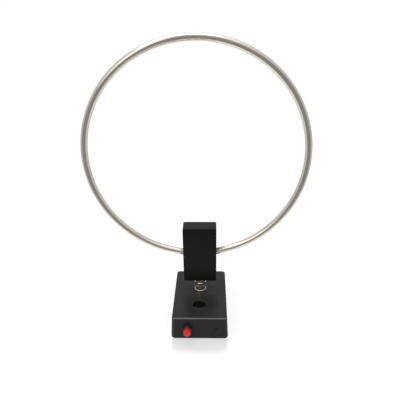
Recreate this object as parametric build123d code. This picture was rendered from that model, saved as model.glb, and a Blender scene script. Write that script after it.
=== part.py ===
from build123d import *
import os
from math import asin, cos, degrees, radians, sin, sqrt, tan

# Desktop active loop antenna: a steel hoop held in a small head box, plugged by a bayonet (BNC)
# coupling into a low base that holds the battery, the board, the power button and the output jack.
# Millimetres and degrees. Origin: centre of the base's underside, on the table.
# +X is to the right of someone facing the button, +Y to the back, +Z up.

# ---------------------------------------------------------------- hoop
LOOP_OUTER_DIAMETER = 258.0
TUBE_DIAMETER = 8.0
TUBE_WALL = 0.8
LOOP_LEAN = 1.4  # the hoop leans a little to the left in its clamps
TUBE_END_GAP = 12.0  # between the two tube ends, inside the head
TUBE_CLEARANCE = 0.2  # round the tube where it enters the head
CLAMP_CLEARANCE = 0.03

# ---------------------------------------------------------------- base housing
BASE_TOP_WIDTH = 64.8
BASE_TOP_DEPTH = 100.0
BASE_HEIGHT = 29.0  # table to top face
BASE_DRAFT = 2.8
BASE_WALL = 2.2
BASE_CORNER_RADIUS = 5.0
BASE_TOP_FILLET = 1.3
BASE_BOTTOM_FILLET = 1.5
PAD_THICKNESS = 1.2
PAD_PROUD = 0.6  # how far the rubber pad lifts the housing off the table
PAD_MARGIN = 4.0
PLATE_THICKNESS = 2.0
PLATE_CLEARANCE = 0.2
BASE_BOSS_DIAMETER = 6.0
BASE_BOSS_INSET = 4.6  # boss axis to the inner face of the wall, at the bottom
RIB_THICKNESS = 1.2
SPOT_FACE_DEPTH = 0.45  # flat seats cut into both faces of the leaning front and rear walls
SPOT_FACE_MARGIN = 0.5  # flat seat beyond what sits on it

# ---------------------------------------------------------------- head box
HEAD_WIDTH = 40.4
HEAD_HEIGHT = 73.0
HEAD_DEPTH = 19.0
HEAD_WALL = 2.0
HEAD_CORNER_RADIUS = 1.8
HEAD_EDGE_FILLET = 0.7
HEAD_BACK_OF_CENTRE = 9.0  # head, hoop and coupling axis behind the base's centre
HEAD_LIFT = 18.5  # base top to the underside of the head
LID_DEPTH = 4.5
LID_LIP_DEPTH = 1.5
LID_LIP_THICKNESS = 1.2
LID_CLEARANCE = 0.15
SEAM_CHAMFER = 0.3
HEAD_BOSS_DIAMETER = 5.0
HEAD_BOSS_INSET = 3.1
CLAMP_LEVEL = 35.5  # head's underside to the centre line of the tube
CLAMP_SPREAD = 12.4  # clamp centres from the head's centre line
CLAMP_LENGTH = 7.0
CLAMP_THICKNESS = 1.2
CLAMP_SCREW_OFFSET = 7.7  # clamp screws above and below the tube's centre
CLAMP_FLANGE = 2.4  # clamp flange beyond its screw

# ---------------------------------------------------------------- bayonet coupling
JACK_FLANGE_DIAMETER = 14.4
JACK_FLANGE_THICKNESS = 2.2
JACK_BARREL_DIAMETER = 9.7
JACK_BARREL_BORE = 8.2
JACK_TIP = 10.6  # panel face to the end of the barrel
JACK_THREAD_DIAMETER = 9.5
JACK_THREAD_FLAT = 4.3  # thread axis to its flat
JACK_THREAD_LENGTH = 4.5  # behind the panel
JACK_INSULATOR_DIAMETER = 4.8
JACK_INSULATOR_SHY = 1.6  # below the barrel's end
CONTACT_DIAMETER = 2.2
CONTACT_TAIL = 8.5  # behind the panel
LUG_DIAMETER = 1.95
LUG_SPAN = 11.0
LUG_FROM_TIP = 5.2
NUT_ACROSS_FLATS = 12.7
NUT_THICKNESS = 2.2
LOCK_WASHER_DIAMETER = 13.0
LOCK_WASHER_THICKNESS = 0.5
PLUG_SLEEVE_DIAMETER = 8.0
PLUG_SLEEVE_BORE = 6.5
PLUG_SLEEVE_REACH = 6.2  # into the jack's barrel
PLUG_SLOT_WIDTH = 0.6
PLUG_FLANGE_THICKNESS = 0.6
PLUG_NECK_DIAMETER = 8.4
PLUG_INSULATOR_DIAMETER = 4.7
PIN_DIAMETER = 1.35
PIN_REACH = 5.0  # into the jack, from the end of its barrel
GASKET_THICKNESS = 0.5
WAVE_WASHER_THICKNESS = 0.3
SEAT_CLEARANCE = 0.05
RUNNING_CLEARANCE = 0.1
COUPLING_RIM_GAP = 0.4  # jack flange to the coupling nut's open end
COUPLING_SKIRT_DIAMETER = 12.8
COUPLING_SKIRT_HEIGHT = 4.4
COUPLING_GRIP_DIAMETER = 14.6
COUPLING_LIP = 0.9
COUPLING_CHAMFER = 0.6
COUPLING_FLUTES = 20
FLUTE_DIAMETER = 1.1
FLUTE_OFFSET = 0.15  # flute centres outside the grip
GRIP_RIM = 1.2  # plain rim above and below the flutes
BAYONET_TURN = 75.0
BAYONET_RISE = 2.0
GROOVE_CLEARANCE = 0.2
DETENT_CLEARANCE = 0.3  # round the lug where a ramp ends
GROOVE_DEPTH = 0.3  # beyond the ends of the lugs
GROOVE_OVERRUN = 0.5  # the cutter starts this far inside the bore
COLLAR_ACROSS_FLATS = 11.0
COLLAR_GAP = 0.6  # coupling nut to the hexagonal collar
PLUG_WASHER_THICKNESS = 0.8
PLUG_THREAD_END = 1.7  # thread beyond the inner nut

# ---------------------------------------------------------------- controls and sockets
CONTROL_HEIGHT = 14.7  # button, lamp and rear jack above the table
BUTTON_X = -14.3
BUTTON_DIAMETER = 8.7
BUTTON_PROUD = 4.5  # beyond its collar
BUTTON_TRAVEL = 2.5
BUTTON_FILLET = 0.8
COLLAR_DIAMETER = 11.0
COLLAR_PROUD = 4.5
COLLAR_FLOOR = 1.0
BUTTON_CLEARANCE = 0.2
SWITCH_THREAD_DIAMETER = 7.0
SWITCH_THREAD_LENGTH = 5.0
SWITCH_CAN_DIAMETER = 10.0
SWITCH_CAN_LENGTH = 11.0
SWITCH_CAN_WALL = 1.0
STEM_DIAMETER = 3.6
STEM_FLANGE_DIAMETER = 6.0
STEM_FLANGE_THICKNESS = 0.8
SPRING_WIRE = 0.45
SPRING_TURNS = 5
TERMINAL_WIDTH = 2.0
TERMINAL_THICKNESS = 0.5
TERMINAL_LENGTH = 4.0
TERMINAL_SPREAD = 2.5
LAMP_X = 19.0
LAMP_DIAMETER = 3.0
LAMP_RECESS = 0.3
LAMP_BOSS_DIAMETER = 6.0
LAMP_FLANGE_DIAMETER = 3.8
LEAD_DIAMETER = 0.5
LEAD_LENGTH = 7.0
LEAD_PITCH = 2.54
REAR_JACK_X = -13.0
USB_X = 11.0
USB_WIDTH = 8.9
USB_HEIGHT = 3.2
USB_DEPTH = 7.3
USB_METAL = 0.3
USB_RECESS = 0.8  # behind the rear wall's face
BADGE_WIDTH = 18.0
BADGE_DEPTH = 15.0
BADGE_THICKNESS = 0.8
BADGE_X = -1.0
BADGE_Y = -24.5

# ---------------------------------------------------------------- inside the base
BOARD_WIDTH = 45.0
BOARD_DEPTH = 37.0
BOARD_THICKNESS = 1.6
BOARD_STANDOFF = 3.4
BOARD_HOLE_INSET = 3.5
BOARD_REAR_GAP = 2.4  # board's rear edge to the rear wall
POST_DIAMETER = 5.0
CELL_WIDTH = 50.0
CELL_DEPTH = 34.0
CELL_THICKNESS = 7.0
CELL_TAPE = 0.5
CELL_TAPE_INSET = 4.0
CELL_GAP = 3.0  # cell to the board's front edge
SCREW_DIAMETER = 2.5
SCREW_HEAD_DIAMETER = 4.6
SCREW_CLEARANCE = 0.05
PLATE_SCREW_LENGTH = 9.0
BOARD_SCREW_LENGTH = 5.0
HEAD_SCREW_LENGTH = 9.0
CLAMP_SCREW_LENGTH = 6.0
# the board's parts: places are from its middle, and from its front edge to a part's front
CHIP_HEIGHT = 1.5
CHARGER_WIDTH = 5.0
CHARGER_DEPTH = 5.0
CHARGER_X = 12.5
CHARGER_INSET = 14.0
CONVERTER_WIDTH = 6.0
CONVERTER_DEPTH = 4.0
CONVERTER_X = -15.0
CONVERTER_INSET = 10.0
CHOKE_WIDTH = 6.0
CHOKE_DEPTH = 6.0
CHOKE_HEIGHT = 3.0
CHOKE_X = 18.0
CHOKE_INSET = 6.0
CAPACITOR_DIAMETER = 5.0
CAPACITOR_HEIGHT = 6.0
CAPACITOR_PITCH = 7.0
CAPACITOR_X = -0.5  # between the two
CAPACITOR_INSET = 17.5

# ---------------------------------------------------------------- inside the head
AMPLIFIER_WIDTH = 30.0
AMPLIFIER_HEIGHT = 16.5
AMPLIFIER_LIFT = 8.5  # head's underside to the board's lower edge
CORE_OUTER_DIAMETER = 16.0
CORE_INNER_DIAMETER = 9.0
CORE_THICKNESS = 6.0
CORE_BELOW_TOP = 18.5  # head's top to the centre of the core
WINDING_TURNS = 14
WINDING_WIRE = 0.6

# ---------------------------------------------------------------- worked out from the above
LOOP_RADIUS = (LOOP_OUTER_DIAMETER - TUBE_DIAMETER) / 2
AXIS_Y = HEAD_BACK_OF_CENTRE
BASE_TOP = BASE_HEIGHT
HEAD_BOTTOM = BASE_TOP + HEAD_LIFT
HEAD_TOP = HEAD_BOTTOM + HEAD_HEIGHT
CORE_LEVEL = HEAD_HEIGHT - CORE_BELOW_TOP
HEAD_FRONT = AXIS_Y - HEAD_DEPTH / 2
HEAD_BACK = AXIS_Y + HEAD_DEPTH / 2
SEAM_Y = HEAD_FRONT + LID_DEPTH
CLAMP_Z = HEAD_BOTTOM + CLAMP_LEVEL
LOOP_CENTRE_X = -LOOP_RADIUS * sin(radians(LOOP_LEAN))
LOOP_CENTRE_Z = CLAMP_Z + LOOP_RADIUS * cos(radians(LOOP_LEAN))
HOOP = Pos(0, AXIS_Y, CLAMP_Z) * Rot(0, -LOOP_LEAN, 0) * Pos(0, 0, LOOP_RADIUS)

SHELL_BOTTOM = PAD_PROUD
SHELL_HEIGHT = BASE_HEIGHT - SHELL_BOTTOM
DRAFT_SLOPE = tan(radians(BASE_DRAFT))
BOTTOM_WIDTH = BASE_TOP_WIDTH + 2 * DRAFT_SLOPE * SHELL_HEIGHT
BOTTOM_DEPTH = BASE_TOP_DEPTH + 2 * DRAFT_SLOPE * SHELL_HEIGHT
PLATE_TOP = SHELL_BOTTOM + PLATE_THICKNESS
BOSS_X = BOTTOM_WIDTH / 2 - BASE_WALL - BASE_BOSS_INSET
BOSS_Y = BOTTOM_DEPTH / 2 - BASE_WALL - BASE_BOSS_INSET
FACE_AT_CONTROLS = BASE_TOP_DEPTH / 2 + DRAFT_SLOPE * (BASE_HEIGHT - CONTROL_HEIGHT)
SEAT_Y = FACE_AT_CONTROLS - SPOT_FACE_DEPTH
SEAT_WALL = BASE_WALL - 2 * SPOT_FACE_DEPTH
BOARD_BOTTOM = PLATE_TOP + BOARD_STANDOFF
BOARD_TOP = BOARD_BOTTOM + BOARD_THICKNESS
BOARD_REAR = FACE_AT_CONTROLS - BASE_WALL - BOARD_REAR_GAP
BOARD_Y = BOARD_REAR - BOARD_DEPTH / 2
CELL_Y = BOARD_Y - BOARD_DEPTH / 2 - CELL_GAP - CELL_DEPTH / 2
PILOT_DIAMETER = SCREW_DIAMETER + 2 * SCREW_CLEARANCE

COUPLING_RIM = JACK_FLANGE_THICKNESS + COUPLING_RIM_GAP
FLANGE_BOTTOM = JACK_TIP + GASKET_THICKNESS
FLANGE_TOP = FLANGE_BOTTOM + PLUG_FLANGE_THICKNESS
LIP_BOTTOM = FLANGE_TOP + WAVE_WASHER_THICKNESS + 2 * SEAT_CLEARANCE
COUPLING_TOP = LIP_BOTTOM + COUPLING_LIP
COUPLING_BORE = JACK_BARREL_DIAMETER + 2 * RUNNING_CLEARANCE
LUG_LEVEL = JACK_TIP - LUG_FROM_TIP
PLUG_AXIS = Pos(0, AXIS_Y, BASE_TOP)
PLUG_NUT_BOTTOM = HEAD_LIFT + HEAD_WALL + PLUG_WASHER_THICKNESS
PLUG_END = PLUG_NUT_BOTTOM + NUT_THICKNESS + PLUG_THREAD_END
AMPLIFIER_FACE = AXIS_Y + PIN_DIAMETER / 2


# ---------------------------------------------------------------- shared shapes
def ring(outer, inner, bottom, top):
    """Flat ring on the Z axis between two heights, from its two diameters."""
    section = Circle(outer / 2) - Circle(inner / 2)
    return Pos(0, 0, bottom) * extrude(section, top - bottom)


def rod(diameter, bottom, top):
    """Round bar on the Z axis between two heights."""
    return Pos(0, 0, bottom) * extrude(Circle(diameter / 2), top - bottom)


def hexagon(across_flats, bottom, top):
    """Hexagonal bar on the Z axis with its corners turned down, as a nut's are."""
    corner = across_flats / sqrt(3)
    bar = Pos(0, 0, bottom) * extrude(RegularPolygon(corner, 6), top - bottom)
    turned = chamfer(rod(2 * corner, bottom, top).edges().filter_by(GeomType.CIRCLE), across_flats / 24)
    return bar & turned


def box_between(x, y, z):
    """Box from its three (low, high) pairs."""
    size = [high - low for low, high in (x, y, z)]
    centre = [(high + low) / 2 for low, high in (x, y, z)]
    return Pos(*centre) * Box(*size)


def countersunk_screw(length, diameter=SCREW_DIAMETER, head=SCREW_HEAD_DIAMETER):
    """Countersunk screw on the Z axis, its flat head at z = 0 and its shank going up."""
    head_height = (head - diameter) / 2
    cone = Pos(0, 0, head_height / 2) * Cone(head / 2, diameter / 2, head_height)
    tip = diameter / 2
    shank = rod(diameter, head_height, length - tip)
    point = Pos(0, 0, length - tip / 2) * Cone(diameter / 2, diameter / 8, tip)
    slot = Box(head * 0.55, head * 0.14, head * 0.3)
    return cone + shank + point - slot - Rot(0, 0, 90) * slot


def countersink(depth, diameter=SCREW_DIAMETER, head=SCREW_HEAD_DIAMETER):
    """The hole that a countersunk screw passes through, opening at z = 0."""
    wide = head / 2 + SCREW_CLEARANCE
    narrow = diameter / 2 + SCREW_CLEARANCE
    cone = Pos(0, 0, (wide - narrow) / 2) * Cone(wide, narrow, wide - narrow)
    return cone + rod(2 * narrow, 0, depth)


def corners(x, y):
    """The four corners of a rectangle, from its half sizes."""
    return [(i * x, j * y) for i in (-1, 1) for j in (-1, 1)]


def front_axis(x, z, y):
    """Frame at a point of the front wall whose Z axis points out of the wall, to the front."""
    return Pos(x, -y, z) * Rot(90, 0, 0)


def rear_axis(x, z, y):
    """Frame at a point of the rear wall whose Z axis points out of the wall, to the back."""
    return Pos(x, y, z) * Rot(-90, 0, 0)


# ---------------------------------------------------------------- hoop
def hoop_arc(diameter, start, end, bore=0.0):
    """Round section swept along the hoop, from one angle to another about its lowest point."""
    section = Circle(diameter / 2)
    if bore:
        section -= Circle(bore / 2)
    profile = Plane.XY * Pos(LOOP_RADIUS, 0) * section
    swept = revolve(profile, Axis.Y, end - start)
    return HOOP * Rot(0, 90 - end, 0) * swept


def hoop_angle(x):
    """Angle about the hoop's lowest point at which its centre line crosses x, near the head."""
    return degrees(asin((x - LOOP_CENTRE_X) / LOOP_RADIUS)) - LOOP_LEAN


def hoop_height(x):
    """Height of the hoop's centre line at x, near the head."""
    return LOOP_CENTRE_Z - sqrt(LOOP_RADIUS**2 - (x - LOOP_CENTRE_X) ** 2)


def hoop_near_head(diameter):
    """The stretch of hoop that crosses the head, as a solid bar, for cutting its holes."""
    reach = HEAD_WIDTH / 2 + TUBE_DIAMETER
    return hoop_arc(diameter, hoop_angle(-reach), hoop_angle(reach))


def loop_tube():
    half_gap = degrees(asin(TUBE_END_GAP / 2 / LOOP_RADIUS))
    return hoop_arc(TUBE_DIAMETER, half_gap, 360 - half_gap, TUBE_DIAMETER - 2 * TUBE_WALL)


def clamp_centres():
    return [(x, hoop_height(x)) for x in (-CLAMP_SPREAD, CLAMP_SPREAD)]


def clamp_screw_points():
    return [(x, z + side * CLAMP_SCREW_OFFSET) for x, z in clamp_centres() for side in (-1, 1)]


def loop_clamps():
    """Two metal straps that press the tube ends into their cradles."""
    straps = []
    half = CLAMP_LENGTH / 2
    reach = CLAMP_SCREW_OFFSET + CLAMP_FLANGE
    hollow = TUBE_DIAMETER + 2 * CLAMP_CLEARANCE
    for x, z in clamp_centres():
        span = (x - half, x + half)
        flange = box_between(span, (AXIS_Y - CLAMP_THICKNESS, AXIS_Y), (z - reach, z + reach))
        arch = hoop_arc(hollow + 2 * CLAMP_THICKNESS, hoop_angle(x - 2 * half), hoop_angle(x + 2 * half))
        arch &= box_between(span, (HEAD_FRONT, AXIS_Y), (z - reach, z + reach))
        strap = flange + arch - hoop_near_head(hollow)
        for side in (-1, 1):
            at = Pos(x, AXIS_Y - CLAMP_THICKNESS, z + side * CLAMP_SCREW_OFFSET)
            strap -= at * Rot(-90, 0, 0) * rod(PILOT_DIAMETER, -1, CLAMP_THICKNESS + 1)
        straps.append(strap)
    return Compound(straps)


def pan_screw(length):
    """Pan-head screw on the Z axis, its head's underside at z = 0 and its shank going up."""
    head = Pos(0, 0, -0.7) * Cylinder(2.1, 1.4)
    head = fillet(head.edges().filter_by(GeomType.CIRCLE).sort_by(Axis.Z)[0], 0.5)
    shank = rod(SCREW_DIAMETER, 0, length)
    slot = Pos(0, 0, -1.4) * Box(2.4, 0.6, 1.0)
    return head + shank - slot - Rot(0, 0, 90) * slot


def clamp_screws():
    return Compound([
        Pos(x, AXIS_Y - CLAMP_THICKNESS, z) * Rot(-90, 0, 0) * pan_screw(CLAMP_SCREW_LENGTH)
        for x, z in clamp_screw_points()
    ])


# ---------------------------------------------------------------- head box
def head_outline(inset=0.0):
    radius = max(HEAD_CORNER_RADIUS - inset, 0.3)
    return RectangleRounded(HEAD_WIDTH - 2 * inset, HEAD_HEIGHT - 2 * inset, radius)


def head_slab(front, back, inset=0.0):
    """Block with the head's outline between two depths."""
    frame = Pos(0, front, HEAD_BOTTOM + HEAD_HEIGHT / 2) * Rot(-90, 0, 0)
    return frame * extrude(head_outline(inset), back - front)


def head_boss_points():
    x = HEAD_WIDTH / 2 - HEAD_WALL - HEAD_BOSS_INSET
    z = HEAD_HEIGHT / 2 - HEAD_WALL - HEAD_BOSS_INSET
    middle = HEAD_BOTTOM + HEAD_HEIGHT / 2
    return [(i, middle + j) for i, j in corners(x, z)]


def along_depth(x, z, front):
    """Frame at a point of the head whose Z axis points to the back."""
    return Pos(x, front, z) * Rot(-90, 0, 0)


def head_shell():
    """Rear part of the head: an open box with cradles for the hoop and posts for the amplifier."""
    outer = head_slab(SEAM_Y, HEAD_BACK)
    outer = fillet(outer.edges().group_by(Axis.Y)[-1], HEAD_EDGE_FILLET)
    outer = chamfer(outer.edges().group_by(Axis.Y)[0], SEAM_CHAMFER)
    inner_back = HEAD_BACK - HEAD_WALL
    shell = outer - head_slab(SEAM_Y, inner_back, HEAD_WALL)
    half = CLAMP_LENGTH / 2
    reach = CLAMP_SCREW_OFFSET + CLAMP_FLANGE
    for x, z in clamp_centres():
        shell += box_between((x - half, x + half), (AXIS_Y, inner_back), (z - reach, z + reach))
    for x, z in amplifier_post_points():
        shell += along_depth(x, z, AMPLIFIER_FACE + BOARD_THICKNESS) * rod(
            POST_DIAMETER, 0, inner_back - AMPLIFIER_FACE - BOARD_THICKNESS
        )
    core_seat = along_depth(0, HEAD_BOTTOM + CORE_LEVEL, AXIS_Y + CORE_THICKNESS / 2)
    seat_depth = inner_back - AXIS_Y - CORE_THICKNESS / 2
    shell += core_seat * rod(CORE_INNER_DIAMETER - 1.6, -CORE_THICKNESS, seat_depth)
    shell += core_seat * ring(
        CORE_OUTER_DIAMETER, CORE_INNER_DIAMETER, WINDING_WIRE + SEAT_CLEARANCE, seat_depth
    )
    inner_slab = head_slab(HEAD_FRONT, HEAD_BACK, HEAD_WALL)
    shell -= hoop_near_head(TUBE_DIAMETER + 2 * CLAMP_CLEARANCE) & inner_slab
    shell -= hoop_near_head(TUBE_DIAMETER + 2 * TUBE_CLEARANCE) - inner_slab
    for x, z in clamp_screw_points():
        shell -= along_depth(x, z, AXIS_Y) * rod(PILOT_DIAMETER, 0, CLAMP_SCREW_LENGTH)
    for x, z in amplifier_post_points():
        shell -= along_depth(x, z, AMPLIFIER_FACE) * rod(PILOT_DIAMETER, 0, BOARD_SCREW_LENGTH)
    for x, z in head_boss_points():
        shell -= Pos(x, HEAD_BACK, z) * Rot(90, 0, 0) * countersink(HEAD_WALL)
    neck_hole = PLUG_NECK_DIAMETER + 2 * RUNNING_CLEARANCE
    shell -= PLUG_AXIS * rod(neck_hole, HEAD_LIFT - 1, HEAD_LIFT + HEAD_WALL + 1)
    return shell


def head_cover():
    """Front lid of the head, with a locating lip and four screw posts that reach the rear wall."""
    outer = head_slab(HEAD_FRONT, SEAM_Y)
    outer = fillet(outer.edges().group_by(Axis.Y)[0], HEAD_EDGE_FILLET)
    outer = chamfer(outer.edges().group_by(Axis.Y)[-1], SEAM_CHAMFER)
    cover = outer - head_slab(HEAD_FRONT + HEAD_WALL, SEAM_Y, HEAD_WALL)
    lip_inset = HEAD_WALL + LID_CLEARANCE
    lip = head_slab(HEAD_FRONT + HEAD_WALL, SEAM_Y + LID_LIP_DEPTH, lip_inset)
    lip -= head_slab(HEAD_FRONT + HEAD_WALL, SEAM_Y + LID_LIP_DEPTH, lip_inset + LID_LIP_THICKNESS)
    root = head_slab(HEAD_FRONT + HEAD_WALL, SEAM_Y, HEAD_WALL)
    root -= head_slab(HEAD_FRONT + HEAD_WALL, SEAM_Y, lip_inset)
    cover += root + lip - hoop_near_head(TUBE_DIAMETER + 2 * TUBE_CLEARANCE)
    plug_room = 2 * NUT_ACROSS_FLATS / sqrt(3) + 2 * LID_CLEARANCE
    cover -= PLUG_AXIS * rod(plug_room, HEAD_LIFT + HEAD_WALL, PLUG_END)
    post_end = HEAD_BACK - HEAD_WALL - LID_CLEARANCE
    for x, z in head_boss_points():
        cover += along_depth(x, z, HEAD_FRONT + HEAD_WALL) * rod(
            HEAD_BOSS_DIAMETER, 0, post_end - HEAD_FRONT - HEAD_WALL
        )
    for x, z in head_boss_points():
        cover -= Pos(x, HEAD_BACK, z) * Rot(90, 0, 0) * rod(PILOT_DIAMETER, 0, HEAD_SCREW_LENGTH + 1)
    return cover


def head_screws():
    return Compound([
        Pos(x, HEAD_BACK, z) * Rot(90, 0, 0) * countersunk_screw(HEAD_SCREW_LENGTH)
        for x, z in head_boss_points()
    ])


# ---------------------------------------------------------------- inside the head
def amplifier_post_points():
    x = AMPLIFIER_WIDTH / 2 - BOARD_HOLE_INSET
    z = HEAD_BOTTOM + AMPLIFIER_LIFT + AMPLIFIER_HEIGHT - BOARD_HOLE_INSET
    return [(-x, z), (x, z)]


def amplifier_board():
    low = HEAD_BOTTOM + AMPLIFIER_LIFT
    half = AMPLIFIER_WIDTH / 2
    board = box_between(
        (-half, half), (AMPLIFIER_FACE, AMPLIFIER_FACE + BOARD_THICKNESS), (low, low + AMPLIFIER_HEIGHT)
    )
    for x, z in amplifier_post_points():
        board -= along_depth(x, z, AMPLIFIER_FACE - 1) * rod(PILOT_DIAMETER, 0, BOARD_THICKNESS + 2)
    return board


def amplifier_screws():
    return Compound([
        along_depth(x, z, AMPLIFIER_FACE) * pan_screw(BOARD_SCREW_LENGTH)
        for x, z in amplifier_post_points()
    ])


def amplifier_chips():
    """The amplifier chip and two choke coils, standing on the front face of the board."""
    low = HEAD_BOTTOM + AMPLIFIER_LIFT
    chip = box_between((4, 10), (AMPLIFIER_FACE - 1.6, AMPLIFIER_FACE), (low + 5, low + 9))
    chokes = [
        along_depth(x, low + 6, AMPLIFIER_FACE - 3.2) * rod(5, 0, 3.2) for x in (-10, -4)
    ]
    return Compound([chip] + chokes)


def transformer_core():
    at = along_depth(0, HEAD_BOTTOM + CORE_LEVEL, AXIS_Y)
    core = ring(CORE_OUTER_DIAMETER, CORE_INNER_DIAMETER, -CORE_THICKNESS / 2, CORE_THICKNESS / 2)
    return at * chamfer(core.edges(), 0.4)


def transformer_winding():
    """Separate square-cornered turns of wire round the core."""
    at = along_depth(0, HEAD_BOTTOM + CORE_LEVEL, AXIS_Y)
    inner = CORE_INNER_DIAMETER / 2
    outer = CORE_OUTER_DIAMETER / 2
    middle = (inner + outer) / 2
    width = outer - inner + 2 * SEAT_CLEARANCE
    height = CORE_THICKNESS + 2 * SEAT_CLEARANCE
    turn = Box(width + 2 * WINDING_WIRE, WINDING_WIRE, height + 2 * WINDING_WIRE)
    turn -= Box(width, 2 * WINDING_WIRE, height)
    return Compound([
        at * Rot(0, 0, (i + 0.5) * 300 / WINDING_TURNS) * Pos(middle, 0, 0) * turn
        for i in range(WINDING_TURNS)
    ])


# ---------------------------------------------------------------- bayonet coupling
def threaded_stub(bottom, top):
    """Threaded neck of a jack, flattened on one side so that it can't turn in its panel."""
    neck = rod(JACK_THREAD_DIAMETER, bottom, top)
    flat = box_between(
        (-JACK_THREAD_DIAMETER, JACK_THREAD_DIAMETER),
        (JACK_THREAD_FLAT, JACK_THREAD_DIAMETER),
        (bottom - 1, top + 1),
    )
    return neck - flat


def jack_hole(wall):
    """Hole with a flat for a jack's neck, from z = 0 down through the wall."""
    radius = JACK_THREAD_DIAMETER / 2 + RUNNING_CLEARANCE
    hole = rod(2 * radius, -wall - 1, 1)
    flat = box_between((-radius, radius), (JACK_THREAD_FLAT + RUNNING_CLEARANCE, radius), (-wall - 1, 1))
    return hole - flat


def jack_body(wall):
    """Flange, bayonet barrel with its two lugs, and threaded neck. z = 0 is the panel's outer face."""
    barrel = rod(JACK_BARREL_DIAMETER, 0, JACK_TIP)
    flange = rod(JACK_FLANGE_DIAMETER, 0, JACK_FLANGE_THICKNESS)
    flange = chamfer(flange.edges().filter_by(GeomType.CIRCLE).sort_by(Axis.Z)[-1], 0.4)
    body = flange + barrel + threaded_stub(-wall - JACK_THREAD_LENGTH, 0)
    body -= rod(JACK_BARREL_BORE, JACK_FLANGE_THICKNESS, JACK_TIP)
    lugs = Pos(0, 0, LUG_LEVEL) * Rot(0, 90, 0) * Cylinder(LUG_DIAMETER / 2, LUG_SPAN)
    lugs -= rod(JACK_BARREL_BORE, JACK_FLANGE_THICKNESS, JACK_TIP)
    bore = JACK_INSULATOR_DIAMETER + 2 * SEAT_CLEARANCE
    return body + lugs - rod(bore, -wall - JACK_THREAD_LENGTH, JACK_TIP)


def jack_insulator(wall):
    top = JACK_TIP - JACK_INSULATOR_SHY
    bottom = -wall - JACK_THREAD_LENGTH - 1
    return ring(JACK_INSULATOR_DIAMETER, CONTACT_DIAMETER + 2 * SEAT_CLEARANCE, bottom, top)


def jack_contact(wall):
    top = JACK_TIP - JACK_INSULATOR_SHY
    socket = rod(PIN_DIAMETER + 2 * RUNNING_CLEARANCE, JACK_TIP - PIN_REACH - 1.5, top)
    return rod(CONTACT_DIAMETER, -wall - CONTACT_TAIL, top) - socket


def lock_washer(top):
    """Toothed washer, its upper face at the given height."""
    washer_bore = JACK_THREAD_DIAMETER + 2 * RUNNING_CLEARANCE
    washer = ring(LOCK_WASHER_DIAMETER, washer_bore, top - LOCK_WASHER_THICKNESS, top)
    notch = Pos(LOCK_WASHER_DIAMETER / 2, 0, top - LOCK_WASHER_THICKNESS / 2) * Box(1.6, 1.0, 1)
    for i in range(12):
        washer -= Rot(0, 0, 30 * i) * notch
    return washer


def jack_nut(wall):
    top = -wall - LOCK_WASHER_THICKNESS
    nut = hexagon(NUT_ACROSS_FLATS, top - NUT_THICKNESS, top)
    return nut - rod(JACK_THREAD_DIAMETER + 2 * SEAT_CLEARANCE, top - NUT_THICKNESS, top)


def jack_nodes(prefix, frame, wall):
    """One bayonet jack, its hardware and its inner parts, set in a panel."""
    return {
        prefix + "_jack_body": frame * jack_body(wall),
        prefix + "_jack_insulator": frame * jack_insulator(wall),
        prefix + "_jack_contact": frame * jack_contact(wall),
        prefix + "_jack_lock_washer": frame * lock_washer(-wall),
        prefix + "_jack_nut": frame * jack_nut(wall),
    }


def bayonet_cuts():
    """Cuts that let one lug into the coupling nut: helical ramp, detent hole, and way in from the rim."""
    width = LUG_DIAMETER + 2 * GROOVE_CLEARANCE
    round_end = LUG_DIAMETER + 2 * DETENT_CLEARANCE
    depth = LUG_SPAN / 2 + GROOVE_DEPTH
    start = COUPLING_BORE / 2 - GROOVE_OVERRUN
    ramp_path = Helix(BAYONET_RISE * 360 / BAYONET_TURN, BAYONET_RISE, (start + depth) / 2)
    section = Plane(ramp_path @ 0, x_dir=(1, 0, 0), z_dir=ramp_path % 0) * Rectangle(depth - start, width)
    foot = LUG_LEVEL - BAYONET_RISE
    ramp = Pos(0, 0, foot) * Rot(0, 0, -BAYONET_TURN) * sweep(section, path=ramp_path, is_frenet=True)
    detent = Pos(start, 0, LUG_LEVEL) * Rot(0, 90, 0) * rod(round_end, 0, COUPLING_SKIRT_DIAMETER)
    turn_in = Pos(start, 0, foot) * Rot(0, 90, 0) * rod(round_end, 0, depth + SEAT_CLEARANCE - start)
    way_in = box_between((start, depth), (-width / 2, width / 2), (COUPLING_RIM - 1, foot))
    entry = Rot(0, 0, -BAYONET_TURN)
    return [ramp, detent, entry * turn_in, entry * way_in]


def coupling_nut():
    """Bayonet ring: smooth skirt, fluted grip between plain rims, and two ramps with detents inside."""
    skirt_top = COUPLING_RIM + COUPLING_SKIRT_HEIGHT
    skirt = rod(COUPLING_SKIRT_DIAMETER, COUPLING_RIM, COUPLING_TOP)
    grip = rod(COUPLING_GRIP_DIAMETER, skirt_top, COUPLING_TOP)
    grip = chamfer(grip.edges().filter_by(GeomType.CIRCLE), COUPLING_CHAMFER)
    flute = rod(FLUTE_DIAMETER, skirt_top + GRIP_RIM, COUPLING_TOP - GRIP_RIM)
    flute = Pos(COUPLING_GRIP_DIAMETER / 2 + FLUTE_OFFSET, 0, 0) * flute
    for i in range(COUPLING_FLUTES):
        grip -= Rot(0, 0, i * 360 / COUPLING_FLUTES) * flute
    nut = skirt + grip
    nut -= rod(COUPLING_BORE, COUPLING_RIM, LIP_BOTTOM)
    nut -= rod(PLUG_NECK_DIAMETER + 2 * RUNNING_CLEARANCE, LIP_BOTTOM, COUPLING_TOP)
    for side in (0, 180):
        for cut in bayonet_cuts():
            nut -= Rot(0, 0, side) * cut
    return PLUG_AXIS * nut


def wave_washer():
    bottom = FLANGE_TOP + SEAT_CLEARANCE
    inner = PLUG_NECK_DIAMETER + 2 * RUNNING_CLEARANCE
    return PLUG_AXIS * ring(JACK_BARREL_DIAMETER, inner, bottom, bottom + WAVE_WASHER_THICKNESS)


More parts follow.
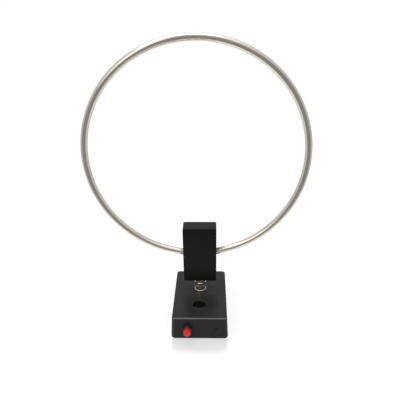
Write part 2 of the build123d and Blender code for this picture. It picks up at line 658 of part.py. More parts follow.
def plug_gasket():
    bore = PLUG_SLEEVE_DIAMETER + 2 * SEAT_CLEARANCE
    return PLUG_AXIS * ring(JACK_BARREL_DIAMETER, bore, JACK_TIP, JACK_TIP + GASKET_THICKNESS)


def plug_body():
    """Slotted contact sleeve, seat flange and threaded neck, in one turned piece."""
    sleeve_end = JACK_TIP - PLUG_SLEEVE_REACH
    sleeve = rod(PLUG_SLEEVE_DIAMETER, sleeve_end, FLANGE_BOTTOM)
    body = sleeve + rod(JACK_BARREL_DIAMETER, FLANGE_BOTTOM, FLANGE_TOP)
    body += rod(PLUG_NECK_DIAMETER, FLANGE_TOP, PLUG_END)
    cavity_top = JACK_TIP - 0.6
    body -= rod(PLUG_SLEEVE_BORE, sleeve_end, cavity_top)
    slot = box_between(
        (-PLUG_SLEEVE_DIAMETER, PLUG_SLEEVE_DIAMETER),
        (-PLUG_SLOT_WIDTH / 2, PLUG_SLOT_WIDTH / 2),
        (sleeve_end, cavity_top),
    )
    body -= slot + Rot(0, 0, 90) * slot
    return PLUG_AXIS * (body - rod(PLUG_INSULATOR_DIAMETER + 2 * SEAT_CLEARANCE, cavity_top, PLUG_END))


def plug_insulator():
    bottom = JACK_TIP - JACK_INSULATOR_SHY / 2
    return PLUG_AXIS * ring(PLUG_INSULATOR_DIAMETER, PIN_DIAMETER + 2 * SEAT_CLEARANCE, bottom, PLUG_END)


def plug_pin():
    """Centre pin, from its rounded tip in the jack up to the edge of the amplifier board."""
    top = HEAD_LIFT + AMPLIFIER_LIFT + 4
    pin = rod(PIN_DIAMETER, JACK_TIP - PIN_REACH, top)
    return PLUG_AXIS * chamfer(pin.edges().filter_by(GeomType.CIRCLE).sort_by(Axis.Z)[0], 0.4)


def plug_collar():
    bottom = COUPLING_TOP + COLLAR_GAP
    collar = hexagon(COLLAR_ACROSS_FLATS, bottom, HEAD_LIFT)
    return PLUG_AXIS * (collar - rod(PLUG_NECK_DIAMETER + 2 * SEAT_CLEARANCE, bottom, HEAD_LIFT))


def plug_washer():
    bottom = HEAD_LIFT + HEAD_WALL
    return PLUG_AXIS * ring(
        NUT_ACROSS_FLATS, PLUG_NECK_DIAMETER + 2 * RUNNING_CLEARANCE, bottom, bottom + PLUG_WASHER_THICKNESS
    )


def plug_nut():
    top = PLUG_NUT_BOTTOM + NUT_THICKNESS
    nut = hexagon(NUT_ACROSS_FLATS, PLUG_NUT_BOTTOM, top)
    return PLUG_AXIS * (nut - rod(PLUG_NECK_DIAMETER + 2 * SEAT_CLEARANCE, PLUG_NUT_BOTTOM, top))


# ---------------------------------------------------------------- base housing
def base_block(inset, bottom, height):
    """Block with the base's outline at its foot, its four sides leaning in."""
    radius = BASE_CORNER_RADIUS - inset / 2
    outline = RectangleRounded(BOTTOM_WIDTH - 2 * inset, BOTTOM_DEPTH - 2 * inset, radius)
    return Pos(0, 0, bottom) * extrude(outline, height, taper=BASE_DRAFT)


def flat_seats(outer_diameter, inner_diameter):
    """Shallow round cuts that give a leaning wall a flat seat outside and another inside."""
    outside = rod(outer_diameter + 2 * SPOT_FACE_MARGIN, 0, BASE_WALL)
    inside = rod(inner_diameter + 2 * SPOT_FACE_MARGIN, -SEAT_WALL - BASE_WALL, -SEAT_WALL)
    return outside + inside


def output_jack_frame():
    return rear_axis(REAR_JACK_X, CONTROL_HEIGHT, SEAT_Y)


def base_shell():
    """Drafted housing, open below, with screw bosses, ribs, flat seats and openings."""
    outer = base_block(0, SHELL_BOTTOM, SHELL_HEIGHT)
    outer = fillet(outer.edges().group_by(Axis.Z)[-1], BASE_TOP_FILLET)
    outer = fillet(outer.edges().group_by(Axis.Z)[0], BASE_BOTTOM_FILLET)
    ceiling = BASE_TOP - BASE_WALL
    cavity = base_block(BASE_WALL, SHELL_BOTTOM, ceiling - SHELL_BOTTOM)
    shell = outer - cavity
    for x, y in corners(BOSS_X, BOSS_Y):
        boss = Pos(x, y) * rod(BASE_BOSS_DIAMETER, PLATE_TOP, ceiling)
        side = 1 if x > 0 else -1
        end = 1 if y > 0 else -1
        reach = BASE_BOSS_INSET + BASE_WALL / 2
        span_x = sorted((x, x + side * reach))
        span_y = sorted((y, y + end * reach))
        half = RIB_THICKNESS / 2
        rib_top = (PLATE_TOP, ceiling)
        boss += box_between(span_x, (y - half, y + half), rib_top)
        boss += box_between((x - half, x + half), span_y, rib_top)
        shell += boss & outer
        shell -= Pos(x, y) * rod(PILOT_DIAMETER, PLATE_TOP, PLATE_TOP + PLATE_SCREW_LENGTH)
    lamp = front_axis(LAMP_X, CONTROL_HEIGHT, FACE_AT_CONTROLS - BASE_WALL)
    shell += lamp * rod(LAMP_BOSS_DIAMETER, -1.4, 0.5)
    shell -= lamp * rod(LAMP_DIAMETER + 2 * RUNNING_CLEARANCE, -2, BASE_WALL + 1)
    shell -= lamp * rod(LAMP_FLANGE_DIAMETER + 2 * RUNNING_CLEARANCE, -2, 0)
    shell -= PLUG_AXIS * jack_hole(BASE_WALL)
    shell -= switch_frame() * flat_seats(COLLAR_DIAMETER, COLLAR_DIAMETER * 2 / sqrt(3))
    shell -= switch_frame() * rod(SWITCH_THREAD_DIAMETER + 2 * RUNNING_CLEARANCE, -BASE_WALL, 1)
    shell -= output_jack_frame() * flat_seats(JACK_FLANGE_DIAMETER, LOCK_WASHER_DIAMETER)
    shell -= output_jack_frame() * jack_hole(SEAT_WALL)
    shell -= usb_frame() * usb_outline(0.35, 5, -2)
    return shell


def bottom_plate():
    """Closing plate with a recess for the rubber pad, screw holes and posts for the board."""
    inset = BASE_WALL + PLATE_CLEARANCE
    outline = RectangleRounded(
        BOTTOM_WIDTH - 2 * inset, BOTTOM_DEPTH - 2 * inset, BASE_CORNER_RADIUS - inset / 2
    )
    plate = Pos(0, 0, SHELL_BOTTOM) * extrude(outline, PLATE_THICKNESS)
    plate -= Pos(0, 0, PAD_THICKNESS) * extrude(pad_outline(PLATE_CLEARANCE), -PAD_THICKNESS)
    for x, y in board_post_points():
        plate += Pos(x, y) * rod(POST_DIAMETER, PLATE_TOP, BOARD_BOTTOM)
        plate -= Pos(x, y) * rod(PILOT_DIAMETER, BOARD_TOP - BOARD_SCREW_LENGTH, BOARD_BOTTOM)
    for x, y in corners(BOSS_X, BOSS_Y):
        plate -= Pos(x, y, SHELL_BOTTOM) * countersink(PLATE_THICKNESS)
    return plate


def pad_outline(grow=0.0):
    """Rounded rectangle with its corners cut away round the four plate screws."""
    width = BOTTOM_WIDTH - 2 * (BASE_WALL + PAD_MARGIN) + 2 * grow
    depth = BOTTOM_DEPTH - 2 * (BASE_WALL + PAD_MARGIN) + 2 * grow
    outline = Rectangle(width, depth)
    for x, y in corners(BOSS_X, BOSS_Y):
        outline -= Pos(x, y) * Circle(SCREW_HEAD_DIAMETER - grow)
    return outline


def rubber_pad():
    return extrude(pad_outline(), PAD_THICKNESS)


def plate_screws():
    return Compound([
        Pos(x, y, SHELL_BOTTOM) * countersunk_screw(PLATE_SCREW_LENGTH) for x, y in corners(BOSS_X, BOSS_Y)
    ])


def badge():
    """Bare oval badge with a domed edge, stuck on the top face."""
    plate = extrude(Ellipse(BADGE_WIDTH / 2, BADGE_DEPTH / 2), BADGE_THICKNESS)
    plate = fillet(plate.edges().sort_by(Axis.Z)[-1], BADGE_THICKNESS * 0.7)
    return Pos(BADGE_X, BADGE_Y, BASE_TOP) * plate


# ---------------------------------------------------------------- power button and lamp
def switch_frame():
    return front_axis(BUTTON_X, CONTROL_HEIGHT, SEAT_Y)


def switch_body():
    """Collar outside the wall, threaded neck through it and round can inside, all one moulding."""
    can_front = -SWITCH_THREAD_LENGTH
    can_back = can_front - SWITCH_CAN_LENGTH
    collar = rod(COLLAR_DIAMETER, 0, COLLAR_PROUD)
    collar = chamfer(collar.edges().filter_by(GeomType.CIRCLE).sort_by(Axis.Z)[-1], 0.5)
    body = collar + rod(SWITCH_THREAD_DIAMETER, can_front, 0)
    body += rod(SWITCH_CAN_DIAMETER, can_back, can_front)
    body -= rod(BUTTON_DIAMETER + 2 * BUTTON_CLEARANCE, COLLAR_FLOOR, COLLAR_PROUD)
    body -= rod(STEM_DIAMETER + 2 * RUNNING_CLEARANCE, can_front - 1, COLLAR_PROUD)
    cavity = SWITCH_CAN_DIAMETER - 2 * SWITCH_CAN_WALL
    body -= rod(cavity, can_back + SWITCH_CAN_WALL, can_front - SWITCH_CAN_WALL)
    return switch_frame() * body


def switch_nut():
    top = -SEAT_WALL
    nut = hexagon(COLLAR_DIAMETER, top - 2.0, top)
    return switch_frame() * (nut - rod(SWITCH_THREAD_DIAMETER + 2 * SEAT_CLEARANCE, top - 2.0, top))


def switch_terminals():
    """Two solder tags standing out of the back of the can."""
    back = -SWITCH_THREAD_LENGTH - SWITCH_CAN_LENGTH
    tags = []
    for x in (-TERMINAL_SPREAD, TERMINAL_SPREAD):
        half_width = TERMINAL_WIDTH / 2
        half = TERMINAL_THICKNESS / 2
        tag = box_between((x - half, x + half), (-half_width, half_width), (back - TERMINAL_LENGTH, back))
        tag -= Pos(x, 0, back - TERMINAL_LENGTH + 1.2) * Rot(0, 90, 0) * Cylinder(0.5, 2)
        tags.append(switch_frame() * tag)
    return Compound(tags)


def power_button():
    """Red cap, hollowed from behind for its stem."""
    back = COLLAR_FLOOR + BUTTON_TRAVEL + BUTTON_CLEARANCE
    front = COLLAR_PROUD + BUTTON_PROUD
    cap = rod(BUTTON_DIAMETER, back, front)
    cap = fillet(cap.edges().filter_by(GeomType.CIRCLE).sort_by(Axis.Z)[-1], BUTTON_FILLET)
    return switch_frame() * (cap - rod(STEM_DIAMETER + 2 * SEAT_CLEARANCE, back, front - 2))


def stem_flange_top():
    return -SWITCH_THREAD_LENGTH - SWITCH_CAN_WALL - SEAT_CLEARANCE


def button_stem():
    """Rod that carries the cap, held in the can by a flange that the spring pushes on."""
    top = COLLAR_PROUD + BUTTON_PROUD - 2
    flange_top = stem_flange_top()
    stem = rod(STEM_DIAMETER, flange_top - STEM_FLANGE_THICKNESS - 1.5, top)
    stem += rod(STEM_FLANGE_DIAMETER, flange_top - STEM_FLANGE_THICKNESS, flange_top)
    return switch_frame() * stem


def button_spring():
    top = stem_flange_top() - STEM_FLANGE_THICKNESS - SPRING_WIRE / 2 - SEAT_CLEARANCE
    back = -SWITCH_THREAD_LENGTH - SWITCH_CAN_LENGTH + SWITCH_CAN_WALL
    bottom = back + SPRING_WIRE / 2 + SEAT_CLEARANCE
    radius = STEM_FLANGE_DIAMETER / 2 - SPRING_WIRE / 2
    path = Helix((top - bottom) / SPRING_TURNS, top - bottom, radius)
    section = Plane(path @ 0, z_dir=path % 0) * Circle(SPRING_WIRE / 2)
    return switch_frame() * Pos(0, 0, bottom) * sweep(section, path=path, is_frenet=True)


def lamp_frame():
    return front_axis(LAMP_X, CONTROL_HEIGHT, FACE_AT_CONTROLS - BASE_WALL)


def power_lamp():
    """Round light-emitting diode with its flange behind the wall and its dome in the hole."""
    tip = BASE_WALL - LAMP_RECESS
    radius = LAMP_DIAMETER / 2
    body = rod(LAMP_DIAMETER, -1.0, tip - radius) + Pos(0, 0, tip - radius) * Sphere(radius)
    body += rod(LAMP_FLANGE_DIAMETER, -1.0, -SEAT_CLEARANCE)
    return lamp_frame() * body


def lamp_leads():
    leads = [
        lamp_frame() * Pos(side * LEAD_PITCH / 2, 0) * rod(LEAD_DIAMETER, -1.0 - LEAD_LENGTH, -1.0)
        for side in (-1, 1)
    ]
    return Compound(leads)


# ---------------------------------------------------------------- charging socket
def usb_frame():
    return rear_axis(USB_X, BOARD_TOP + USB_HEIGHT / 2, FACE_AT_CONTROLS - USB_RECESS)


def usb_outline(grow, top, bottom):
    """Block with the socket's stadium outline, grown all round, between two depths."""
    height = USB_HEIGHT + 2 * grow
    outline = SlotOverall(USB_WIDTH + 2 * grow, height)
    return Pos(0, 0, bottom) * extrude(outline, top - bottom)


def usb_socket():
    shell = usb_outline(0, 0, -USB_DEPTH) - usb_outline(-USB_METAL, 1, -USB_DEPTH + 1.0)
    return usb_frame() * shell


def usb_tongue():
    back = -USB_DEPTH + 1.0
    return usb_frame() * box_between((-3.3, 3.3), (-0.35, 0.35), (back, -0.8))


# ---------------------------------------------------------------- inside the base
def board_post_points():
    x = BOARD_WIDTH / 2 - BOARD_HOLE_INSET
    y = BOARD_DEPTH / 2 - BOARD_HOLE_INSET
    return [(i, BOARD_Y + j) for i, j in corners(x, y)]


def main_board():
    board = Box(BOARD_WIDTH, BOARD_DEPTH, BOARD_THICKNESS)
    board = Pos(0, BOARD_Y, BOARD_BOTTOM + BOARD_THICKNESS / 2) * board
    for x, y in board_post_points():
        board -= Pos(x, y) * rod(PILOT_DIAMETER, BOARD_BOTTOM - 1, BOARD_TOP + 1)
    return board


def board_screws():
    return Compound([
        Pos(x, y, BOARD_TOP) * Rot(180, 0, 0) * pan_screw(BOARD_SCREW_LENGTH)
        for x, y in board_post_points()
    ])


def board_part(x, inset, width, depth, height):
    """Square-cornered part on the upper face of the board."""
    front = BOARD_Y - BOARD_DEPTH / 2 + inset
    return box_between(
        (x - width / 2, x + width / 2), (front, front + depth), (BOARD_TOP, BOARD_TOP + height)
    )


def board_parts():
    """Charger chip, converter chip, two capacitors and a choke on the upper face of the board."""
    pieces = [
        board_part(CHARGER_X, CHARGER_INSET, CHARGER_WIDTH, CHARGER_DEPTH, CHIP_HEIGHT),
        board_part(CONVERTER_X, CONVERTER_INSET, CONVERTER_WIDTH, CONVERTER_DEPTH, CHIP_HEIGHT),
        board_part(CHOKE_X, CHOKE_INSET, CHOKE_WIDTH, CHOKE_DEPTH, CHOKE_HEIGHT),
    ]
    middle = BOARD_Y - BOARD_DEPTH / 2 + CAPACITOR_INSET + CAPACITOR_DIAMETER / 2
    capacitor = rod(CAPACITOR_DIAMETER, BOARD_TOP, BOARD_TOP + CAPACITOR_HEIGHT)
    pieces += [
        Pos(CAPACITOR_X + side * CAPACITOR_PITCH / 2, middle) * capacitor for side in (-1, 1)
    ]
    return Compound(pieces)


def battery_cell():
    """Flat pouch cell with rounded long edges, lying on its tape."""
    bottom = PLATE_TOP + CELL_TAPE
    cell = box_between(
        (-CELL_WIDTH / 2, CELL_WIDTH / 2),
        (CELL_Y - CELL_DEPTH / 2, CELL_Y + CELL_DEPTH / 2),
        (bottom, bottom + CELL_THICKNESS),
    )
    return fillet(cell.edges().filter_by(Axis.X), CELL_THICKNESS * 0.3)


def battery_tape():
    half_width = CELL_WIDTH / 2 - CELL_TAPE_INSET
    half_depth = CELL_DEPTH / 2 - CELL_TAPE_INSET
    return box_between(
        (-half_width, half_width),
        (CELL_Y - half_depth, CELL_Y + half_depth),
        (PLATE_TOP, PLATE_TOP + CELL_TAPE),
    )


def all_nodes():
    nodes = {
        "base_shell": base_shell(),
        "bottom_plate": bottom_plate(),
        "rubber_pad": rubber_pad(),
        "plate_screws": plate_screws(),
        "badge": badge(),
        "main_board": main_board(),
        "board_screws": board_screws(),
        "board_parts": board_parts(),
        "battery_cell": battery_cell(),
        "battery_tape": battery_tape(),
        "usb_socket": usb_socket(),
        "usb_tongue": usb_tongue(),
        "switch_body": switch_body(),
        "switch_nut": switch_nut(),
        "switch_terminals": switch_terminals(),
        "power_button": power_button(),
        "button_stem": button_stem(),
        "button_spring": button_spring(),
        "power_lamp": power_lamp(),
        "lamp_leads": lamp_leads(),
        "coupling_nut": coupling_nut(),
        "wave_washer": wave_washer(),
        "plug_gasket": plug_gasket(),
        "plug_body": plug_body(),
        "plug_insulator": plug_insulator(),
        "plug_pin": plug_pin(),
        "plug_collar": plug_collar(),
        "plug_washer": plug_washer(),
        "plug_nut": plug_nut(),
        "head_shell": head_shell(),
        "head_cover": head_cover(),
        "head_screws": head_screws(),
        "loop_tube": loop_tube(),
        "loop_clamps": loop_clamps(),
        "clamp_screws": clamp_screws(),
        "amplifier_board": amplifier_board(),
        "amplifier_screws": amplifier_screws(),
        "amplifier_chips": amplifier_chips(),
        "transformer_core": transformer_core(),
        "transformer_winding": transformer_winding(),
    }
    nodes.update(jack_nodes("head", PLUG_AXIS, BASE_WALL))
    nodes.update(jack_nodes("output", output_jack_frame(), SEAT_WALL))
    return nodes


os.makedirs("parts", exist_ok=True)
for name, shape in all_nodes().items():
    export_step(shape, f"parts/{name}.step")
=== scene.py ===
"""Desk loop antenna: the finish of every part, the button's spring, and the studio."""
import math

import bmesh
import bpy
from bpy.props import FloatProperty, FloatVectorProperty, PointerProperty
from bpy.types import Operator, Panel, PropertyGroup
from mathutils import Matrix, Vector


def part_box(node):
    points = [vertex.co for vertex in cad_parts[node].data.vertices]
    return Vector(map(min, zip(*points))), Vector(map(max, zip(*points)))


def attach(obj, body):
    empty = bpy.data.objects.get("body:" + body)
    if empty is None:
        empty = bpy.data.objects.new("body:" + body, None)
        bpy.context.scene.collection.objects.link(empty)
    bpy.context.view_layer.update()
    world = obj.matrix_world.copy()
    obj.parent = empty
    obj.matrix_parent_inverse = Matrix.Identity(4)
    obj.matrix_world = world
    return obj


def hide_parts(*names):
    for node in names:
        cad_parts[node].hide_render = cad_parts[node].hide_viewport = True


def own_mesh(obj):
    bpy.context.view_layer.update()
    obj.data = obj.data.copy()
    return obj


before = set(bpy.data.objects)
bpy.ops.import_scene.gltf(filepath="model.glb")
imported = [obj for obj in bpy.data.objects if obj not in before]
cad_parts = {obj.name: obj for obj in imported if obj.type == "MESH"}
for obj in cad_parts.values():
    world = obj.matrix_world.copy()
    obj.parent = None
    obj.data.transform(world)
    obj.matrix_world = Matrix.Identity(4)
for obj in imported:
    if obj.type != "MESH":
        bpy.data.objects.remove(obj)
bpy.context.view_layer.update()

bl_info = {
    "name": "Desk Loop Antenna",
    "version": (1, 0, 0),
    "blender": (4, 5, 0),
    "location": "View3D > Sidebar > Antenna",
    "description": "Finishes a steel hoop antenna on its plastic base and sets up its studio",
    "category": "Object",
}

# Worn edges of the housings, and the painted highlight along the base's front top edge, in metres
WORN_EDGE_WIDTH = 0.0011
FRONT_HIGHLIGHT_FULL = 0.0020  # behind the front, where the painted highlight is still whole
FRONT_HIGHLIGHT_END = 0.0034  # and where it has gone
FRONT_HIGHLIGHT_LOW = 0.0011  # under the top, where the painted highlight starts
FRONT_HIGHLIGHT_HIGH = 0.0006  # and where it is whole
# Pale colour painted along the base's front top edge: a painted highlight where its rounding
# would catch the light
PAINTED_HIGHLIGHT_COLOUR = (0.17, 0.17, 0.17)

# Finishes
LACQUER_ROUGHNESS = 0.06
PLATING_RING_SPACING = 0.00009
PLATING_RING_DEPTH = 0.000004
DRAWN_LINE_DEPTH = 0.000012
BOARD_TRACE_DEPTH = 0.00003
WINDING_WIRE = 0.00032
WINDING_DEPTH = 0.00012
FOIL_CREASE_DEPTH = 0.00018
OPEN_PAD_COLOUR = (0.62, 0.6, 0.55)
SPRING_STEEL = (0.55, 0.53, 0.5)
SHADED_STEEL = (0.3, 0.27, 0.23)
WHITE = (1.0, 1.0, 1.0)

# Spring mesh
SPRING_STEPS = 32  # points in one turn
SPRING_SIDES = 12  # sides round the wire

# Studio, in metres
FLOOR_SQUARES = 24  # along each side of the floor's mesh
NEAR_FLOOR = 0.06  # from the base, where the floor still looks fully lit
TOP_LAMP_PLACE = (-0.22, 0.02, 1.22)
TOP_LAMP_TARGET = (0.0, 0.0, 0.1)
TOP_LAMP_SIZE = 0.9
FRONT_LAMP_PLACE = (-0.7, -0.9, 0.8)
FRONT_LAMP_TARGET = (0.0, 0.0, 0.12)
FRONT_LAMP_SIZE = 0.7
CAMERA_PLACE = (0.013944, -0.456571, 0.361598)
CAMERA_RIGHT = (0.99967196, 0.02269532, -0.01186982)
CAMERA_UP = (0.0015797, 0.40793012, 0.91301179)
CAMERA_LENS = 39.31  # millimetres, on a sensor 36 wide
CAMERA_SENSOR = 36.0


# ---------------------------------------------------------------- settings

def colour_property(name, description, default):
    """A colour that the user can change, in linear red, green and blue."""
    return FloatVectorProperty(
        name=name, description=description, default=default,
        subtype="COLOR", size=3, min=0.0, max=1.0,
    )


def share_property(name, description, default):
    """A share from nothing to all."""
    return FloatProperty(
        name=name, description=description, default=default,
        subtype="FACTOR", min=0.0, max=1.0,
    )


def length_property(name, description, default):
    """A length in metres."""
    return FloatProperty(
        name=name, description=description, default=default,
        unit="LENGTH", subtype="DISTANCE", min=0.0, precision=5,
    )


class PlasticSettings(PropertyGroup):
    """Colours and grain of the moulded and rubber parts."""

    base_colour: colour_property(
        "Base black", "Moulded black of the base housing", (0.0184, 0.0183, 0.0182))
    head_colour: colour_property(
        "Head black", "Moulded black of the head box", (0.0100, 0.0099, 0.0098))
    badge_colour: colour_property(
        "Badge black", "Lacquered black of the bare oval badge", (0.0030, 0.0030, 0.0032))
    rubber_colour: colour_property(
        "Rubber", "Black rubber of the foot pad and the gasket", (0.0160, 0.0155, 0.0150))
    button_colour: colour_property(
        "Button red", "Polished red of the power button", (0.8600, 0.0200, 0.0240))
    lamp_colour: colour_property(
        "Lamp lens", "Smoky lens of the power lamp", (0.0120, 0.0060, 0.0055))
    insulator_colour: colour_property(
        "Insulator", "White plastic round the centre contacts", (0.7400, 0.7300, 0.6900))
    dust_colour: colour_property(
        "Dust", "Fine dust that settles on upward faces", (0.2250, 0.2150, 0.2040))
    grain_size: length_property(
        "Grain size", "Width of one grain of the moulded texture", 0.00042)
    grain_height: length_property(
        "Grain height", "Depth of the moulded texture", 0.00003)
    dust_amount: share_property(
        "Dust amount", "How much dust lies on upward faces", 0.22)
    marks_amount: share_property(
        "Handling marks", "Strength of smudges and fine scratches", 0.35)


class MetalSettings(PropertyGroup):
    """Colours of the bare and plated metal."""

    hoop_colour: colour_property(
        "Hoop steel", "Drawn stainless tube of the hoop", (0.8400, 0.7860, 0.6950))
    nickel_colour: colour_property(
        "Nickel", "Plating of the coupling and the jacks", (0.8200, 0.7800, 0.6700))
    brass_colour: colour_property(
        "Brass", "Brass that shows where the plating is thin", (0.4300, 0.3500, 0.1600))
    zinc_colour: colour_property(
        "Zinc", "Plating of the screws", (0.5600, 0.5650, 0.5500))
    gold_colour: colour_property(
        "Gold", "Plating of the centre contacts", (0.8300, 0.5900, 0.2100))
    copper_colour: colour_property(
        "Copper", "Enamelled wire of the transformer", (0.5600, 0.2100, 0.0800))
    line_spacing: length_property(
        "Drawn line spacing", "Distance between drawing lines on the hoop", 0.00022)
    spring_colour: colour_property(
        "Spring steel", "Bright wire of the button's spring", (0.5000, 0.4900, 0.4700))
    spring_wire: length_property("Spring wire", "Diameter of the spring's wire", 0.00045)
    spring_turns: FloatProperty(
        name="Spring turns", description="Turns of the spring, with the closed ones at its ends",
        default=6.0, min=3.0, max=20.0)


class BoardSettings(PropertyGroup):
    """Colours of the circuit boards, their parts and the cell."""

    mask_colour: colour_property(
        "Board green", "Solder mask of the circuit boards", (0.0150, 0.1050, 0.0420))
    chip_colour: colour_property(
        "Chip black", "Moulding of the chips and the ferrite core", (0.0180, 0.0180, 0.0190))
    cell_colour: colour_property(
        "Cell foil", "Foil pouch of the battery cell", (0.5600, 0.5700, 0.5900))
    tape_colour: colour_property(
        "Tape", "Amber tape that holds the cell", (0.5200, 0.2400, 0.0250))


class StudioSettings(PropertyGroup):
    """Floor, lamps and surroundings."""

    floor_width: length_property("Floor width", "Side of the pale floor", 3.0)
    floor_front: length_property(
        "Floor front", "How far the floor comes forward of the antenna's axis", 0.17)
    floor_colour: colour_property("Floor", "Pale sheet under the antenna", (0.90, 0.90, 0.90))
    floor_fill: share_property(
        "Floor fill", "Share of plain white in the floor where it is looked at", 0.3)
    floor_glow: FloatProperty(
        name="Floor glow", description="Strength of that plain white",
        default=1.95, min=0.0, max=4.0)
    mirror_reach: length_property(
        "Mirror reach", "How far from the base the floor stops mirroring", 0.04)
    light_reach: length_property(
        "Light reach", "How far from the base the floor stops looking lit in reflections", 0.32)
    far_floor: share_property(
        "Far floor", "Brightness of the floor beyond that, in reflections", 0.4)
    top_lamp_power: FloatProperty(
        name="Top lamp", description="Power of the soft lamp above",
        default=4.4, min=0.0, unit="POWER")
    front_lamp_power: FloatProperty(
        name="Front lamp", description="Power of the soft lamp at the front",
        default=1.6, min=0.0, unit="POWER")
    room_light: share_property("Room light", "Even light from all round", 0.56)
    room_around: share_property(
        "Room around", "Brightness of the room in reflections", 0.64)
    room_front: share_property(
        "Room front", "Brightness of the low front of the room in reflections", 0.26)
    room_above: FloatProperty(
        name="Room above", description="Brightness straight overhead in reflections",
        default=1.25, min=0.0, max=4.0)


SETTINGS = {
    "antenna_plastic": PlasticSettings,
    "antenna_metal": MetalSettings,
    "antenna_boards": BoardSettings,
    "antenna_studio": StudioSettings,
}


# ---------------------------------------------------------------- node helpers

class Wiring:
    """Adds nodes to one node tree, left to right, and wires them by socket name."""

    def __init__(self, tree):
        self.tree = tree
        self.column = 0

    def add(self, kind, inputs=None, label=None, **settings):
        """One node: settings are its own options, inputs are values or other nodes' sockets."""
        made = self.tree.nodes.new(kind)
        made.location = (self.column * 190 - 1800, -140 * (self.column % 4))
        self.column += 1
        if label:
            made.label = label
        for option, value in settings.items():
            setattr(made, option, value)
        for key, value in (inputs or {}).items():
            self.feed(made.inputs[key], value)
        return made

    def feed(self, socket, value):
        """Links a socket, or sets its value."""
        if isinstance(value, bpy.types.NodeSocket):
            self.tree.links.new(value, socket)
        elif hasattr(value, "__len__") and len(value) == 3 and socket.type == "RGBA":
            socket.default_value = (*value, 1.0)
        else:
            socket.default_value = value

    def noise(self, vector, scale, detail=3.0, roughness=0.5):
        """Noise from 0 to 1."""
        return self.add("ShaderNodeTexNoise", {
            "Vector": vector, "Scale": scale, "Detail": detail, "Roughness": roughness,
        }).outputs[0]

    def math(self, operation, first, second=0.0, clamp=False):
        """One sum on two numbers."""
        return self.add(
            "ShaderNodeMath", {0: first, 1: second}, operation=operation, use_clamp=clamp,
        ).outputs[0]

    def span(self, value, low, high, to_low=0.0, to_high=1.0):
        """Takes low..high to to_low..to_high, smoothly and without going past them."""
        return self.add("ShaderNodeMapRange", {
            "Value": value, "From Min": low, "From Max": high,
            "To Min": to_low, "To Max": to_high,
        }, interpolation_type="SMOOTHSTEP", clamp=True).outputs[0]

    def blend(self, share, first, second):
        """Mixes two colours."""
        return self.add(
            "ShaderNodeMix", {0: share, 6: first, 7: second}, data_type="RGBA",
        ).outputs[2]

    def vector(self, operation, first, second=(0.0, 0.0, 0.0)):
        """One sum on two vectors."""
        return self.add(
            "ShaderNodeVectorMath", {0: first, 1: second}, operation=operation,
        ).outputs[0]

    def place(self, group, inputs):
        """Puts a shared group into this tree."""
        made = self.add("ShaderNodeGroup", label=group.name)
        made.node_tree = group
        for key, value in inputs.items():
            self.feed(made.inputs[key], value)
        return made.outputs


def new_group(name, inputs, outputs):
    """An empty shared group with its named sockets; returns its wiring and both ends."""
    kinds = {"vector": "NodeSocketVector", "value": "NodeSocketFloat"}
    group = bpy.data.node_groups.new(name, "ShaderNodeTree")
    for label, kind, default in inputs:
        socket = group.interface.new_socket(
            name=label, in_out="INPUT", socket_type=kinds[kind])
        socket.default_value = default
    for label in outputs:
        group.interface.new_socket(
            name=label, in_out="OUTPUT", socket_type="NodeSocketFloat")
    wiring = Wiring(group)
    entry = wiring.add("NodeGroupInput").outputs
    leave = group.nodes.new("NodeGroupOutput")
    leave.location = (1800, 0)
    return wiring, entry, leave.inputs


ORIGIN = (0.0, 0.0, 0.0)


def moulded_grain_group():
    """Fine moulded texture, with a slow change of tone from the flow of the plastic."""
    wiring, entry, leave = new_group(
        "Moulded grain",
        [("Vector", "vector", ORIGIN), ("Grain Size", "value", 0.0004)],
        ["Height", "Tone"],
    )
    scale = wiring.math("DIVIDE", 1.0, entry["Grain Size"])
    cells = wiring.add("ShaderNodeTexVoronoi", {
        "Vector": entry["Vector"], "Scale": scale, "Randomness": 1.0,
    }, feature="SMOOTH_F1").outputs["Distance"]
    fine = wiring.noise(entry["Vector"], wiring.math("MULTIPLY", scale, 0.7), 4.0, 0.6)
    height = wiring.math("ADD", wiring.math("MULTIPLY", cells, 0.6), fine)
    wiring.feed(leave["Height"], wiring.math("MULTIPLY", height, 0.6))
    slow = wiring.noise(entry["Vector"], 34.0, 2.0, 0.45)
    speck = wiring.noise(entry["Vector"], wiring.math("MULTIPLY", scale, 0.35), 2.0, 0.5)
    tone = wiring.math("ADD", wiring.math("MULTIPLY", slow, 0.65),
                       wiring.math("MULTIPLY", speck, 0.35))
    wiring.feed(leave["Tone"], wiring.span(tone, 0.32, 0.68))
    return wiring.tree


def handling_marks_group():
    """Smudges from fingers, and fine scratches that run in a few directions."""
    wiring, entry, leave = new_group(
        "Handling marks",
        [("Vector", "vector", ORIGIN), ("Amount", "value", 0.3)],
        ["Smudge", "Scratch"],
    )
    patches = wiring.noise(entry["Vector"], 48.0, 4.0, 0.62)
    ridges = wiring.noise(entry["Vector"], 900.0, 2.0, 0.5)
    smudge = wiring.math("MULTIPLY", wiring.span(patches, 0.46, 0.66),
                         wiring.span(ridges, 0.25, 0.7, 0.6, 1.0))
    wiring.feed(leave["Smudge"], wiring.math("MULTIPLY", smudge, entry["Amount"]))
    lines = None
    for turn, stretch in ((0.5, (70.0, 2600.0, 900.0)), (-0.8, (2400.0, 90.0, 1200.0))):
        turned = wiring.add("ShaderNodeVectorRotate", {
            "Vector": entry["Vector"], "Angle": turn, "Axis": (0.3, 0.4, 0.86),
        }, rotation_type="AXIS_ANGLE").outputs[0]
        thread = wiring.noise(wiring.vector("MULTIPLY", turned, stretch), 1.0, 0.0)
        thin = wiring.span(wiring.math("ABSOLUTE", wiring.math("SUBTRACT", thread, 0.5)),
                           0.0, 0.012, 1.0, 0.0)
        lines = thin if lines is None else wiring.math("MAXIMUM", lines, thin)
    where = wiring.span(wiring.noise(entry["Vector"], 75.0, 1.0), 0.55, 0.72)
    scratch = wiring.math("MULTIPLY", lines, where)
    wiring.feed(leave["Scratch"], wiring.math("MULTIPLY", scratch, entry["Amount"]))
    return wiring.tree


